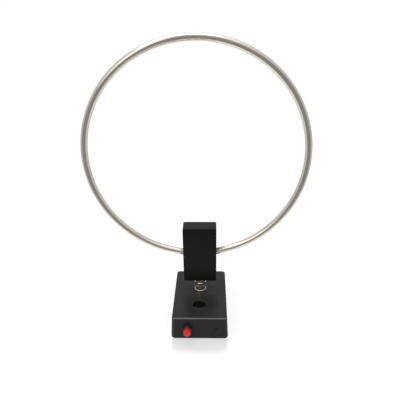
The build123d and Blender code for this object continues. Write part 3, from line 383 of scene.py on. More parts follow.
def settled_dust_group():
    """Dust that lies on faces that look up, thicker in patches."""
    wiring, entry, leave = new_group(
        "Settled dust",
        [("Vector", "vector", ORIGIN), ("Amount", "value", 0.3)],
        ["Dust"],
    )
    up = wiring.add("ShaderNodeSeparateXYZ", {
        0: wiring.add("ShaderNodeNewGeometry").outputs["Normal"],
    }).outputs["Z"]
    lies = wiring.span(up, 0.35, 0.95)
    specks = wiring.span(wiring.noise(entry["Vector"], 1500.0, 3.0, 0.7), 0.56, 0.74)
    film = wiring.span(wiring.noise(entry["Vector"], 60.0, 3.0, 0.6), 0.35, 0.75, 0.26, 0.5)
    dust = wiring.math("MULTIPLY", lies, wiring.math("MAXIMUM", specks, film))
    wiring.feed(leave["Dust"], wiring.math("MULTIPLY", dust, entry["Amount"]))
    return wiring.tree


def worn_edges_group():
    """Rubbed corners of a box-shaped moulding: strongest where two of its sides meet."""
    wiring, entry, leave = new_group(
        "Worn edges",
        [("Vector", "vector", ORIGIN), ("Centre", "vector", ORIGIN),
         ("Half Size", "vector", (0.01, 0.01, 0.01)), ("Width", "value", 0.0015)],
        ["Wear"],
    )
    offset = wiring.vector(
        "ABSOLUTE", wiring.vector("SUBTRACT", entry["Vector"], entry["Centre"]))
    inside = wiring.add("ShaderNodeSeparateXYZ", {
        0: wiring.vector("SUBTRACT", entry["Half Size"], offset),
    }).outputs
    low_xy = wiring.math("MINIMUM", inside[0], inside[1])
    high_xy = wiring.math("MAXIMUM", inside[0], inside[1])
    second = wiring.math("MAXIMUM", low_xy, wiring.math("MINIMUM", high_xy, inside[2]))
    ragged = wiring.noise(entry["Vector"], 420.0, 4.0, 0.65)
    reach = wiring.math("MULTIPLY", entry["Width"], wiring.span(ragged, 0.3, 0.8, 0.25, 1.6))
    wear = wiring.span(wiring.math("DIVIDE", second, reach), 0.25, 1.1, 1.0, 0.0)
    wiring.feed(leave["Wear"], wear)
    return wiring.tree


def drawn_lines_group():
    """Lines along a bent tube, round the hoop's centre, from drawing it through a die."""
    wiring, entry, leave = new_group(
        "Drawn lines",
        [("Vector", "vector", ORIGIN), ("Centre", "vector", ORIGIN),
         ("Spacing", "value", 0.0002)],
        ["Height", "Tone", "Cloud"],
    )
    offset = wiring.vector("SUBTRACT", entry["Vector"], entry["Centre"])
    part = wiring.add("ShaderNodeSeparateXYZ", {0: offset}).outputs
    radius = wiring.math("SQRT", wiring.math(
        "ADD", wiring.math("MULTIPLY", part["X"], part["X"]),
        wiring.math("MULTIPLY", part["Z"], part["Z"])))
    angle = wiring.math("ARCTAN2", part["Z"], part["X"])
    across = wiring.math("DIVIDE", radius, entry["Spacing"])
    depth = wiring.math("DIVIDE", part["Y"], entry["Spacing"])
    along = wiring.math("MULTIPLY", angle, 3.0)
    laid = wiring.add("ShaderNodeCombineXYZ", {0: across, 1: depth, 2: along}).outputs[0]
    lines = wiring.noise(laid, 1.0, 3.0, 0.55)
    wiring.feed(leave["Height"], lines)
    wiring.feed(leave["Tone"], wiring.span(lines, 0.34, 0.66))
    slow = wiring.noise(entry["Vector"], 22.0, 3.0, 0.55)
    wiring.feed(leave["Cloud"], wiring.span(slow, 0.35, 0.68))
    return wiring.tree


def turned_lines_group():
    """Fine rings left by a lathe, and thin patches in the plating."""
    wiring, entry, leave = new_group(
        "Turned lines",
        [("Vector", "vector", ORIGIN), ("Spacing", "value", 0.0001)],
        ["Height", "Thin Plating"],
    )
    rings = wiring.add("ShaderNodeSeparateXYZ", {0: entry["Vector"]}).outputs["Z"]
    step = wiring.math("DIVIDE", rings, entry["Spacing"])
    ring = wiring.noise(
        wiring.add("ShaderNodeCombineXYZ", {2: step}).outputs[0], 1.0, 2.0)
    wiring.feed(leave["Height"], ring)
    thin = wiring.noise(entry["Vector"], 330.0, 3.0, 0.6)
    wiring.feed(leave["Thin Plating"], wiring.span(thin, 0.42, 0.7))
    return wiring.tree


def wound_wire_group():
    """Turns of round wire, side by side, along one axis, with a mask for painted shade in the
    gaps between them.
    """
    wiring, entry, leave = new_group(
        "Wound wire",
        [("Vector", "vector", ORIGIN), ("Wire Size", "value", 0.0003)],
        ["Height", "Painted Gap Shade"],
    )
    along = wiring.add("ShaderNodeSeparateXYZ", {0: entry["Vector"]}).outputs["X"]
    turns = wiring.math("DIVIDE", along, entry["Wire Size"])
    phase = wiring.math("SUBTRACT", wiring.math("FRACT", turns), 0.5)
    away = wiring.math("MULTIPLY", wiring.math("ABSOLUTE", phase), 2.0)
    wiring.feed(leave["Height"], wiring.math("SUBTRACT", 1.0, wiring.math("POWER", away, 2.0)))
    wiring.feed(leave["Painted Gap Shade"], wiring.span(away, 0.75, 1.0))
    return wiring.tree


GROUP_MAKERS = {
    "grain": moulded_grain_group,
    "marks": handling_marks_group,
    "dust": settled_dust_group,
    "edges": worn_edges_group,
    "drawn": drawn_lines_group,
    "turned": turned_lines_group,
    "wound": wound_wire_group,
}
GROUPS = {}


def shared(kind):
    """A shared group, built the first time that it is asked for."""
    if kind not in GROUPS:
        GROUPS[kind] = GROUP_MAKERS[kind]()
    return GROUPS[kind]


def start_material(name, **constants):
    """A material with one principled shader, its constants set on the shader's own sockets."""
    material = bpy.data.materials.new(name)
    material.use_nodes = True
    wiring = Wiring(material.node_tree)
    shader = material.node_tree.nodes["Principled BSDF"]
    for key, value in constants.items():
        shader.inputs[key.replace("_", " ")].default_value = value
    place = wiring.add("ShaderNodeTexCoord").outputs["Object"]
    return material, wiring, shader, place


def add_bump(wiring, shader, height, depth, strength):
    """Raises a surface by a height between 0 and 1 over a depth in metres."""
    bump = wiring.add("ShaderNodeBump", {
        "Height": height, "Distance": depth, "Strength": strength,
    })
    wiring.feed(shader.inputs["Normal"], bump.outputs["Normal"])


def shade(colour, factor, lift=0.0):
    """A colour times a factor, plus a lift, and never past white."""
    return tuple(min(1.0, part * factor + lift) for part in colour)


def plastic(name, colour, roughness, specular, grain, dust=1.0, marks=1.0,
            edges_of=None, front_highlight=0.0, coat=0.0):
    """Moulded plastic: grain, tone, smudges, scratches, dust, and worn edges on a box.

    A pale strip can be painted along the front top edge of a box as a painted highlight, standing
    in for the light that edge catches.
    """
    settings = bpy.context.scene.antenna_plastic
    material, wiring, shader, place = start_material(name, Specular_IOR_Level=specular)
    shader.inputs["Coat Roughness"].default_value = LACQUER_ROUGHNESS
    shader.inputs["Coat Weight"].default_value = coat
    texture = wiring.place(shared("grain"), {
        "Vector": place, "Grain Size": settings.grain_size})
    touched = wiring.place(shared("marks"), {
        "Vector": place, "Amount": settings.marks_amount * marks})
    settled = wiring.place(shared("dust"), {
        "Vector": place, "Amount": settings.dust_amount * dust})
    tone = wiring.blend(texture["Tone"], shade(colour, 0.9), shade(colour, 1.12))
    scratched = wiring.blend(touched["Scratch"], tone, shade(colour, 2.0, 0.012))
    rough = wiring.math("ADD", roughness, wiring.math("MULTIPLY", touched["Smudge"], -0.16))
    rough = wiring.math("ADD", rough, wiring.math("MULTIPLY", texture["Tone"], 0.05))
    if edges_of:
        low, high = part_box(edges_of)
        worn = wiring.place(shared("edges"), {
            "Vector": place, "Centre": (low + high) / 2, "Half Size": (high - low) / 2,
            "Width": WORN_EDGE_WIDTH})["Wear"]
        scratched = wiring.blend(
            wiring.math("MULTIPLY", worn, 0.6), scratched, shade(colour, 1.5, 0.004))
        # Painted highlight: a pale strip painted along the front top edge, standing in for the
        # light that edge catches
        if front_highlight:
            part = wiring.add("ShaderNodeSeparateXYZ", {0: place}).outputs
            ahead = wiring.span(
                part["Y"], low.y + FRONT_HIGHLIGHT_FULL, low.y + FRONT_HIGHLIGHT_END, 1.0, 0.0)
            aloft = wiring.span(part["Z"], high.z - FRONT_HIGHLIGHT_LOW, high.z - FRONT_HIGHLIGHT_HIGH)
            painted_highlight = wiring.math("MULTIPLY", wiring.math("MULTIPLY", ahead, aloft), front_highlight)
            scratched = wiring.blend(painted_highlight, scratched, PAINTED_HIGHLIGHT_COLOUR)
        rough = wiring.math("ADD", rough, wiring.math("MULTIPLY", worn, -0.14))
    dusty = wiring.blend(settled["Dust"], scratched, settings.dust_colour)
    wiring.feed(shader.inputs["Base Color"], dusty)
    rough = wiring.math("ADD", rough, wiring.math("MULTIPLY", settled["Dust"], 0.3), clamp=True)
    wiring.feed(shader.inputs["Roughness"], rough)
    if grain:
        add_bump(wiring, shader, texture["Height"], settings.grain_height * grain, 0.8)
    return material


def plated(name, colour, under, roughness, wear=0.5):
    """Turned and plated metal, with the metal under it showing where the plating is thin."""
    plastic_settings = bpy.context.scene.antenna_plastic
    material, wiring, shader, place = start_material(name)
    turned = wiring.place(shared("turned"), {
        "Vector": place, "Spacing": PLATING_RING_SPACING})
    touched = wiring.place(shared("marks"), {"Vector": place, "Amount": 0.6})
    settled = wiring.place(shared("dust"), {
        "Vector": place, "Amount": plastic_settings.dust_amount * 0.4})
    shown = wiring.blend(wiring.math("MULTIPLY", turned["Thin Plating"], wear), colour, under)
    dusty = wiring.blend(settled["Dust"], shown, plastic_settings.dust_colour)
    wiring.feed(shader.inputs["Base Color"], dusty)
    wiring.feed(shader.inputs["Metallic"], wiring.math("SUBTRACT", 1.0, settled["Dust"]))
    rough = wiring.math("ADD", roughness, wiring.math("MULTIPLY", touched["Smudge"], 0.14))
    rough = wiring.math("ADD", rough, wiring.math("MULTIPLY", turned["Height"], 0.05))
    rough = wiring.math(
        "ADD", rough, wiring.math("MULTIPLY", touched["Scratch"], 0.12), clamp=True)
    wiring.feed(shader.inputs["Roughness"], rough)
    add_bump(wiring, shader, turned["Height"], PLATING_RING_DEPTH, 0.6)
    return material


def dress(nodes, material):
    """Gives a material to every slot of some nodes."""
    for name in nodes:
        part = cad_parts[name]
        if not part.material_slots:
            part.data.materials.append(None)
        for slot in part.material_slots:
            slot.material = material


# ---------------------------------------------------------------- finishes

def hoop_steel():
    """Satin drawn stainless tube: warm grey, with lines along its length."""
    metal = bpy.context.scene.antenna_metal
    plastics = bpy.context.scene.antenna_plastic
    low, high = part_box("loop_tube")
    radius = (high.x - low.x) / 2
    centre = Vector(((low.x + high.x) / 2, (low.y + high.y) / 2, high.z - radius))
    material, wiring, shader, place = start_material("hoop_steel")
    drawn = wiring.place(shared("drawn"), {
        "Vector": place, "Centre": centre, "Spacing": metal.line_spacing})
    touched = wiring.place(shared("marks"), {"Vector": place, "Amount": 0.8})
    settled = wiring.place(shared("dust"), {
        "Vector": place, "Amount": plastics.dust_amount * 0.35})
    colour = metal.hoop_colour
    tone = wiring.blend(drawn["Tone"], shade(colour, 0.93), shade(colour, 1.05))
    clouded = wiring.blend(wiring.math("MULTIPLY", drawn["Cloud"], 0.35), tone,
                           tuple(c * k for c, k in zip(colour, (0.9, 0.87, 0.82))))
    dusty = wiring.blend(settled["Dust"], clouded, plastics.dust_colour)
    wiring.feed(shader.inputs["Base Color"], dusty)
    wiring.feed(shader.inputs["Metallic"], wiring.math("SUBTRACT", 1.0, settled["Dust"]))
    rough = wiring.math("ADD", 0.13, wiring.math("MULTIPLY", drawn["Tone"], 0.08))
    rough = wiring.math("ADD", rough, wiring.math("MULTIPLY", touched["Smudge"], 0.12))
    rough = wiring.math(
        "ADD", rough, wiring.math("MULTIPLY", touched["Scratch"], 0.1), clamp=True)
    wiring.feed(shader.inputs["Roughness"], rough)
    add_bump(wiring, shader, drawn["Height"], DRAWN_LINE_DEPTH, 0.5)
    return material


def circuit_board():
    """Green solder mask over copper traces, with bright pads where the mask is open."""
    boards = bpy.context.scene.antenna_boards
    material, wiring, shader, place = start_material("board_green", Specular_IOR_Level=0.5)
    cells = wiring.add("ShaderNodeTexVoronoi", {
        "Vector": place, "Scale": 260.0, "Randomness": 0.35,
    }, distance="MANHATTAN").outputs["Distance"]
    traces = wiring.span(cells, 0.42, 0.5)
    dots = wiring.add("ShaderNodeTexVoronoi", {
        "Vector": place, "Scale": 390.0, "Randomness": 0.15,
    }).outputs["Distance"]
    pads = wiring.span(dots, 0.1, 0.14, 1.0, 0.0)
    mask = boards.mask_colour
    green = wiring.blend(traces, mask, shade(mask, 1.8))
    wiring.feed(shader.inputs["Base Color"], wiring.blend(pads, green, OPEN_PAD_COLOUR))
    wiring.feed(shader.inputs["Metallic"], wiring.math("MULTIPLY", pads, 0.9))
    wiring.feed(shader.inputs["Roughness"], wiring.math(
        "ADD", 0.28, wiring.math("MULTIPLY", wiring.noise(place, 700.0), 0.14)))
    add_bump(wiring, shader, traces, BOARD_TRACE_DEPTH, 0.7)
    return material


def wound_copper():
    """Enamelled copper wire, turn by turn, with painted shade in the gaps between turns."""
    metal = bpy.context.scene.antenna_metal
    material, wiring, shader, place = start_material(
        "winding_copper", Coat_Weight=0.6, Coat_Roughness=0.15)
    wire = wiring.place(shared("wound"), {"Vector": place, "Wire Size": WINDING_WIRE})
    colour = metal.copper_colour
    # Painted shade: the gaps between turns are painted dark and not metallic, where shade would
    # fall
    wiring.feed(shader.inputs["Base Color"], wiring.blend(
        wire["Painted Gap Shade"], colour, shade(colour, 0.25)))
    wiring.feed(shader.inputs["Metallic"], wiring.math("SUBTRACT", 1.0, wire["Painted Gap Shade"]))
    wiring.feed(shader.inputs["Roughness"], wiring.math(
        "ADD", 0.25, wiring.math("MULTIPLY", wiring.noise(place, 900.0), 0.15)))
    add_bump(wiring, shader, wire["Height"], WINDING_DEPTH, 0.8)
    return material


def cell_foil():
    """Crinkled foil pouch with a soft sheen."""
    boards = bpy.context.scene.antenna_boards
    material, wiring, shader, place = start_material("cell_foil")
    crease = wiring.noise(place, 210.0, 5.0, 0.55)
    colour = boards.cell_colour
    wiring.feed(shader.inputs["Base Color"], wiring.blend(
        wiring.span(crease, 0.35, 0.65), shade(colour, 0.86), colour))
    wiring.feed(shader.inputs["Metallic"], wiring.span(crease, 0.0, 0.4, 0.7, 0.85))
    wiring.feed(shader.inputs["Roughness"], wiring.span(crease, 0.3, 0.7, 0.3, 0.44))
    add_bump(wiring, shader, crease, FOIL_CREASE_DEPTH, 0.7)
    return material


def lamp_lens():
    """Smoky tinted lens, unlit, with a softer patch inside."""
    plastics = bpy.context.scene.antenna_plastic
    material, wiring, shader, place = start_material(
        "lamp_lens", Coat_Weight=1.0, Coat_Roughness=0.04, Specular_IOR_Level=0.5)
    cloud = wiring.noise(place, 800.0, 2.0, 0.5)
    colour = plastics.lamp_colour
    wiring.feed(shader.inputs["Base Color"], wiring.blend(
        wiring.span(cloud, 0.3, 0.7), shade(colour, 0.6), shade(colour, 1.4)))
    wiring.feed(shader.inputs["Roughness"], wiring.span(cloud, 0.3, 0.7, 0.12, 0.2))
    return material


# ---------------------------------------------------------------- operators

class DressOperator:
    """What all the dressing operators share."""

    bl_options = {"REGISTER", "UNDO"}

    def execute(self, context):
        self.dress(context.scene)
        return {"FINISHED"}


class ANTENNA_OT_hoop(DressOperator, Operator):
    """Gives the steel hoop its drawn satin finish"""

    bl_idname = "antenna.hoop"
    bl_label = "Hoop"

    def dress(self, scene):
        dress(["loop_tube"], hoop_steel())


class ANTENNA_OT_head_box(DressOperator, Operator):
    """Gives the head box its two black mouldings"""

    bl_idname = "antenna.head_box"
    bl_label = "Head box"

    def dress(self, scene):
        colour = scene.antenna_plastic.head_colour
        for part, roughness in (("head_shell", 0.3), ("head_cover", 0.28)):
            dress([part], plastic(
                part + "_black", colour, roughness, specular=0.13, grain=0.2,
                dust=0.2, marks=0.6, edges_of=part))


class ANTENNA_OT_base_housing(DressOperator, Operator):
    """Gives the base housing and its bottom plate their black mouldings"""

    bl_idname = "antenna.base_housing"
    bl_label = "Base housing"

    def dress(self, scene):
        colour = scene.antenna_plastic.base_colour
        # The base shell's front top edge gets a painted highlight
        dress(["base_shell"], plastic(
            "base_shell_black", colour, 0.26, specular=0.21, grain=0.2,
            dust=0.75, marks=0.5, edges_of="base_shell", front_highlight=0.8))
        dress(["bottom_plate"], plastic(
            "bottom_plate_black", colour, 0.44, specular=0.34, grain=1.3, dust=0.0))


class ANTENNA_OT_badge(DressOperator, Operator):
    """Gives the bare oval badge its lacquer"""

    bl_idname = "antenna.badge"
    bl_label = "Badge"

    def dress(self, scene):
        colour = scene.antenna_plastic.badge_colour
        dress(["badge"], plastic(
            "badge_lacquer", colour, 0.14, specular=0.4, grain=0.0,
            dust=0.12, marks=0.8, coat=0.5))


class ANTENNA_OT_rubber_parts(DressOperator, Operator):
    """Gives the foot pad and the gasket their rubber"""

    bl_idname = "antenna.rubber_parts"
    bl_label = "Rubber parts"

    def dress(self, scene):
        colour = scene.antenna_plastic.rubber_colour
        dress(["rubber_pad", "plug_gasket"], plastic(
            "soft_rubber", colour, 0.68, specular=0.25, grain=2.0, dust=0.5, marks=0.4))


class ANTENNA_OT_power_switch(DressOperator, Operator):
    """Gives the power switch its body, its red button, its stem, its nut and its terminals"""

    bl_idname = "antenna.power_switch"
    bl_label = "Power switch"

    def dress(self, scene):
        metal = scene.antenna_metal
        red = scene.antenna_plastic.button_colour
        dress(["power_button"], plastic(
            "button_red", red, 0.26, specular=0.3, grain=0.0, dust=0.15, marks=0.4, coat=0.2))
        dress(["switch_body"], plastic(
            "switch_black", (0.013, 0.013, 0.013), 0.4, specular=0.4, grain=0.5))
        dress(["button_stem"], plastic(
            "stem_white", (0.6, 0.59, 0.55), 0.4, specular=0.4, grain=0.4))
        dress(["switch_nut"], plated(
            "switch_nut_nickel", metal.nickel_colour, metal.brass_colour, 0.24))
        dress(["switch_terminals"], plated(
            "terminal_tin", (0.66, 0.66, 0.64), metal.brass_colour, 0.34, wear=0.2))


def wound_spring(name, low, high, wire, turns):
    """Compression spring along Y between two corners, with a closed turn at each end."""
    middle = (low + high) / 2
    radius = (high.x - low.x - wire) / 2
    length = high.y - low.y - wire
    pitch = (length - 2 * wire) / (turns - 2)
    coil = bmesh.new()
    rings = []
    steps = int(turns * SPRING_STEPS)
    for step in range(steps + 1):
        turn = step / SPRING_STEPS
        rise = wire * min(turn, 1.0) + pitch * min(max(turn - 1.0, 0.0), turns - 2.0)
        rise += wire * max(turn - turns + 1.0, 0.0)
        slope = wire if turn < 1.0 or turn > turns - 1.0 else pitch
        angle = turn * math.tau
        outward = Vector((math.cos(angle), 0.0, math.sin(angle)))
        along = Vector((-math.sin(angle), slope / (math.tau * radius), math.cos(angle)))
        across = along.cross(outward).normalized()
        centre = Vector((middle.x, low.y + wire / 2 + rise, middle.z)) + outward * radius
        ring = []
        for side in range(SPRING_SIDES):
            tilt = side / SPRING_SIDES * math.tau
            ring.append(coil.verts.new(
                centre + (outward * math.cos(tilt) + across * math.sin(tilt)) * wire / 2))
        rings.append(ring)
    for first, second in zip(rings, rings[1:]):
        for side in range(SPRING_SIDES):
            after = (side + 1) % SPRING_SIDES
            face = coil.faces.new((first[side], first[after], second[after], second[side]))
            face.smooth = True
    coil.faces.new(rings[0])
    coil.faces.new(rings[-1])
    bmesh.ops.recalc_face_normals(coil, faces=coil.faces)
    mesh = bpy.data.meshes.new(name)
    coil.to_mesh(mesh)
    coil.free()
    made = bpy.data.objects.new(name, mesh)
    bpy.context.scene.collection.objects.link(made)
    return made


class ANTENNA_OT_button_spring(DressOperator, Operator):
    """Winds the spring that brings the button back"""

    bl_idname = "antenna.button_spring"
    bl_label = "Button spring"

    def dress(self, scene):
        metal = scene.antenna_metal
        low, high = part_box("button_spring")
        spring = wound_spring(
            "return_spring", low, high, metal.spring_wire, metal.spring_turns)
        spring.data.materials.append(plated(
            "spring_steel", metal.spring_colour, SHADED_STEEL, 0.26, wear=0.3))
        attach(spring, "base")
        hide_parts("button_spring")
        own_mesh(spring)


class ANTENNA_OT_power_lamp(DressOperator, Operator):
    """Gives the power lamp its lens and its leads"""

    bl_idname = "antenna.power_lamp"
    bl_label = "Power lamp"

    def dress(self, scene):
        dress(["power_lamp"], lamp_lens())
        dress(["lamp_leads"], plated(
            "lead_tin", (0.62, 0.62, 0.6), scene.antenna_metal.brass_colour, 0.34, wear=0.25))


class ANTENNA_OT_coupling(DressOperator, Operator):
    """Gives the bayonet coupling its nickel plating"""

    bl_idname = "antenna.coupling"
    bl_label = "Bayonet coupling"

    def dress(self, scene):
        metal = scene.antenna_metal
        dress(["coupling_nut", "plug_collar"], plated(
            "coupling_nickel", metal.nickel_colour, metal.brass_colour, 0.19))
        dress(["plug_body", "plug_washer", "plug_nut"], plated(
            "plug_nickel", metal.nickel_colour, metal.brass_colour, 0.22, wear=0.3))
        dress(["wave_washer"], plated(
            "washer_steel", SPRING_STEEL, SHADED_STEEL, 0.26, wear=0.3))


class ANTENNA_OT_jacks(DressOperator, Operator):
    """Gives both jacks their plating and their insulators"""

    bl_idname = "antenna.jacks"
    bl_label = "Jacks"

    def dress(self, scene):
        metal = scene.antenna_metal
        white = scene.antenna_plastic.insulator_colour
        pairs = [f"{end}_jack_{part}" for end in ("head", "output") for part in ("body", "nut")]
        dress(pairs, plated(
            "jack_nickel", metal.nickel_colour, metal.brass_colour, 0.2, wear=0.35))
        dress(["head_jack_lock_washer", "output_jack_lock_washer"], plated(
            "lock_washer_steel", SPRING_STEEL, SHADED_STEEL, 0.3, wear=0.3))
        dress(["head_jack_contact", "output_jack_contact", "plug_pin"], plated(
            "contact_gold", metal.gold_colour, metal.brass_colour, 0.18, wear=0.2))
        dress(["head_jack_insulator", "output_jack_insulator", "plug_insulator"], plastic(
            "insulator_white", white, 0.42, specular=0.4, grain=0.3, dust=0.3, marks=0.5))


class ANTENNA_OT_charging_socket(DressOperator, Operator):
    """Gives the charging socket its tinned shell and its tongue"""

    bl_idname = "antenna.charging_socket"
    bl_label = "Charging socket"

    def dress(self, scene):
        dress(["usb_socket"], plated(
            "socket_tin", (0.68, 0.68, 0.66), (0.45, 0.43, 0.4), 0.24, wear=0.3))
        dress(["usb_tongue"], plastic(
            "tongue_black", (0.012, 0.012, 0.012), 0.36, specular=0.4, grain=0.4))


class ANTENNA_OT_screws(DressOperator, Operator):
    """Gives the screws and the clamps their zinc plating"""

    bl_idname = "antenna.screws"
    bl_label = "Screws and clamps"

    def dress(self, scene):
        zinc = scene.antenna_metal.zinc_colour
        dress(["plate_screws", "board_screws", "clamp_screws", "head_screws", "amplifier_screws"],
              plated("screw_zinc", zinc, shade(zinc, 0.6), 0.28, wear=0.4))
        dress(["loop_clamps"], plated(
            "clamp_aluminium", (0.62, 0.62, 0.62), (0.5, 0.5, 0.49), 0.36, wear=0.4))


class ANTENNA_OT_circuit_boards(DressOperator, Operator):
    """Gives the boards their solder mask and their parts a moulded finish"""

    bl_idname = "antenna.circuit_boards"
    bl_label = "Circuit boards"

    def dress(self, scene):
        chips = scene.antenna_boards.chip_colour
        dress(["main_board", "amplifier_board"], circuit_board())
        dress(["board_parts", "amplifier_chips"], plastic(
            "chip_black", chips, 0.4, specular=0.4, grain=0.6))


class ANTENNA_OT_transformer(DressOperator, Operator):
    """Gives the transformer its ferrite and its wound copper"""

    bl_idname = "antenna.transformer"
    bl_label = "Transformer"

    def dress(self, scene):
        dress(["transformer_core"], plastic(
            "ferrite", scene.antenna_boards.chip_colour, 0.5, specular=0.4, grain=1.5, dust=0.2))
        dress(["transformer_winding"], wound_copper())


class ANTENNA_OT_battery(DressOperator, Operator):
    """Gives the battery cell its foil and its tape"""

    bl_idname = "antenna.battery"
    bl_label = "Battery"

    def dress(self, scene):
        dress(["battery_cell"], cell_foil())
        dress(["battery_tape"], plastic(
            "amber_tape", scene.antenna_boards.tape_colour, 0.3, specular=0.5, grain=0.0,
            dust=0.2, marks=0.8, coat=0.4))


class ANTENNA_OT_studio(DressOperator, Operator):
    """Makes the pale floor, the soft lamps, the room and the camera"""

    bl_idname = "antenna.studio"
    bl_label = "Studio"

    def dress(self, scene):
        studio = scene.antenna_studio
        make_floor(studio)
        make_lamps(studio)
        make_room(scene, studio)
        make_camera(scene)


def pale_sheet(studio):
    """Lacquered pale sheet that mirrors clearly near the base, and less and less further out."""
    material, wiring, shader, place = start_material("pale_sheet", Metallic=0.6)
    low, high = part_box("base_shell")
    beside = wiring.vector("SUBTRACT", wiring.vector("ABSOLUTE", place), (high.x, high.y, 1.0))
    away = wiring.add("ShaderNodeVectorMath", {
        0: wiring.vector("MAXIMUM", beside, ORIGIN),
    }, operation="LENGTH").outputs["Value"]
    soft = wiring.noise(place, 3.0, 2.0)
    rough = wiring.span(away, 0.0, studio.mirror_reach, 0.06, 0.62)
    wiring.feed(shader.inputs["Roughness"], wiring.math(
        "ADD", rough, wiring.math("MULTIPLY", soft, 0.02)))
    colour = studio.floor_colour
    wiring.feed(shader.inputs["Base Color"], wiring.blend(
        soft, shade(colour, 0.99), colour))
    ray = wiring.add("ShaderNodeLightPath").outputs
    mirrored = wiring.math("ADD", ray["Is Glossy Ray"], ray["Is Transmission Ray"], clamp=True)
    looked_at = wiring.math("ADD", ray["Is Camera Ray"], mirrored, clamp=True)
    far = wiring.span(away, NEAR_FLOOR, studio.light_reach, 1.0, studio.far_floor)
    strength = wiring.math(
        "ADD", wiring.math("MULTIPLY", ray["Is Camera Ray"], studio.floor_glow),
        wiring.math("MULTIPLY", mirrored, far))
    glow = wiring.add("ShaderNodeEmission", {"Color": WHITE, "Strength": strength}).outputs[0]
    mixed = wiring.add("ShaderNodeMixShader", {
        0: wiring.math("MULTIPLY", looked_at, studio.floor_fill),
        1: shader.outputs["BSDF"], 2: glow,
    }).outputs[0]
    wiring.feed(material.node_tree.nodes["Material Output"].inputs["Surface"], mixed)
    return material


def make_floor(studio):
    """A pale sheet that mirrors what stands on it a little and keeps its shadow."""
    half = studio.floor_width / 2
    mesh = bpy.data.meshes.new("floor")
    sheet = bmesh.new()
    bmesh.ops.create_grid(
        sheet, x_segments=FLOOR_SQUARES, y_segments=FLOOR_SQUARES, size=0.5)
    depth = half + studio.floor_front
    for vertex in sheet.verts:
        vertex.co.x *= studio.floor_width
        vertex.co.y = (vertex.co.y + 0.5) * depth - studio.floor_front
    sheet.to_mesh(mesh)
    sheet.free()
    floor = bpy.data.objects.new("floor", mesh)
    bpy.context.scene.collection.objects.link(floor)
    mesh.materials.append(pale_sheet(studio))


def add_area_lamp(name, place, target, size, power):
    """One square soft lamp that points at a target."""
    lamp = bpy.data.lights.new(name, "AREA")
    lamp.shape = "SQUARE"
    lamp.size = size
    lamp.energy = power
    made = bpy.data.objects.new(name, lamp)
    made.location = place
    made.rotation_mode = "QUATERNION"
    made.rotation_quaternion = (Vector(target) - Vector(place)).to_track_quat("-Z", "Y")
    bpy.context.scene.collection.objects.link(made)


def make_lamps(studio):
    """A wide soft lamp above and a weak one at the front."""
    add_area_lamp(
        "top_lamp", TOP_LAMP_PLACE, TOP_LAMP_TARGET, TOP_LAMP_SIZE, studio.top_lamp_power)
    add_area_lamp(
        "front_lamp", FRONT_LAMP_PLACE, FRONT_LAMP_TARGET, FRONT_LAMP_SIZE,
        studio.front_lamp_power)


def make_room(scene, studio):
    """White where it is looked at; in reflections brightest overhead and darkest low in front."""
    world = bpy.data.worlds.new("room")
    world.use_nodes = True
    scene.world = world
    wiring = Wiring(world.node_tree)
    background = world.node_tree.nodes["Background"]
    ray = wiring.add("ShaderNodeLightPath").outputs
    towards = wiring.add("ShaderNodeTexCoord").outputs["Generated"]
    part = wiring.add("ShaderNodeSeparateXYZ", {0: towards}).outputs
    above = wiring.span(part["Z"], 0.72, 0.95, studio.room_around, studio.room_above)
    ahead = wiring.math("MULTIPLY", wiring.span(part["Y"], -0.75, -0.25, 1.0, 0.0),
                        wiring.span(part["Z"], 0.3, 0.6, 1.0, 0.0))
    level = wiring.math("SUBTRACT", above, wiring.math(
        "MULTIPLY", ahead, studio.room_around - studio.room_front))
    mirrored = wiring.math("ADD", ray["Is Glossy Ray"], ray["Is Transmission Ray"], clamp=True)
    lit = wiring.blend(mirrored, (studio.room_light,) * 3, WHITE)
    dimming = wiring.math("ADD", wiring.math("MULTIPLY", mirrored, level),
                          wiring.math("SUBTRACT", 1.0, mirrored))
    seen = wiring.add("ShaderNodeMix", {0: 1.0, 6: lit, 7: dimming},
                      data_type="RGBA", blend_type="MULTIPLY")
    wiring.feed(background.inputs["Color"], wiring.blend(
        ray["Is Camera Ray"], seen.outputs[2], WHITE))
    background.inputs["Strength"].default_value = 1.0


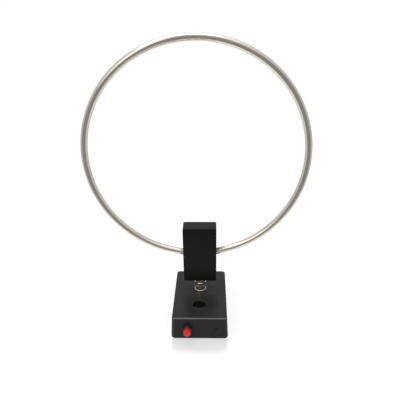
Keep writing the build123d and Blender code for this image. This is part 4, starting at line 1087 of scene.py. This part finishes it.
def make_camera(scene):
    """The camera stands in front of the antenna and looks down on it."""
    right, up = Vector(CAMERA_RIGHT), Vector(CAMERA_UP)
    back = right.cross(up)
    lens = bpy.data.cameras.new("camera")
    lens.sensor_width = CAMERA_SENSOR
    lens.lens = CAMERA_LENS
    camera = bpy.data.objects.new("camera", lens)
    turn = Matrix((right, up, back)).transposed().to_4x4()
    camera.matrix_world = Matrix.Translation(CAMERA_PLACE) @ turn
    scene.collection.objects.link(camera)
    scene.camera = camera
    scene.view_settings.view_transform = "Standard"


OPERATORS = (
    ANTENNA_OT_studio,
    ANTENNA_OT_hoop,
    ANTENNA_OT_head_box,
    ANTENNA_OT_base_housing,
    ANTENNA_OT_badge,
    ANTENNA_OT_rubber_parts,
    ANTENNA_OT_power_switch,
    ANTENNA_OT_button_spring,
    ANTENNA_OT_power_lamp,
    ANTENNA_OT_coupling,
    ANTENNA_OT_jacks,
    ANTENNA_OT_charging_socket,
    ANTENNA_OT_screws,
    ANTENNA_OT_circuit_boards,
    ANTENNA_OT_transformer,
    ANTENNA_OT_battery,
)


class ANTENNA_PT_panel(Panel):
    """Lists the antenna's settings and its operators."""

    bl_idname = "ANTENNA_PT_panel"
    bl_label = "Desk Loop Antenna"
    bl_space_type = "VIEW_3D"
    bl_region_type = "UI"
    bl_category = "Antenna"

    def draw(self, context):
        for name, group in SETTINGS.items():
            box = self.layout.box()
            for field in group.__annotations__:
                box.prop(getattr(context.scene, name), field)
        for operator in OPERATORS:
            self.layout.operator(operator.bl_idname)


CLASSES = (*SETTINGS.values(), *OPERATORS, ANTENNA_PT_panel)


def register():
    for item in CLASSES:
        bpy.utils.register_class(item)
    for name, group in SETTINGS.items():
        setattr(bpy.types.Scene, name, PointerProperty(type=group))


def unregister():
    for name in SETTINGS:
        delattr(bpy.types.Scene, name)
    for item in reversed(CLASSES):
        bpy.utils.unregister_class(item)


def main():
    """Dresses every part in turn."""
    register()
    for operator in OPERATORS:
        group, name = operator.bl_idname.split(".")
        getattr(getattr(bpy.ops, group), name)()


if __name__ == "__main__":
    main()
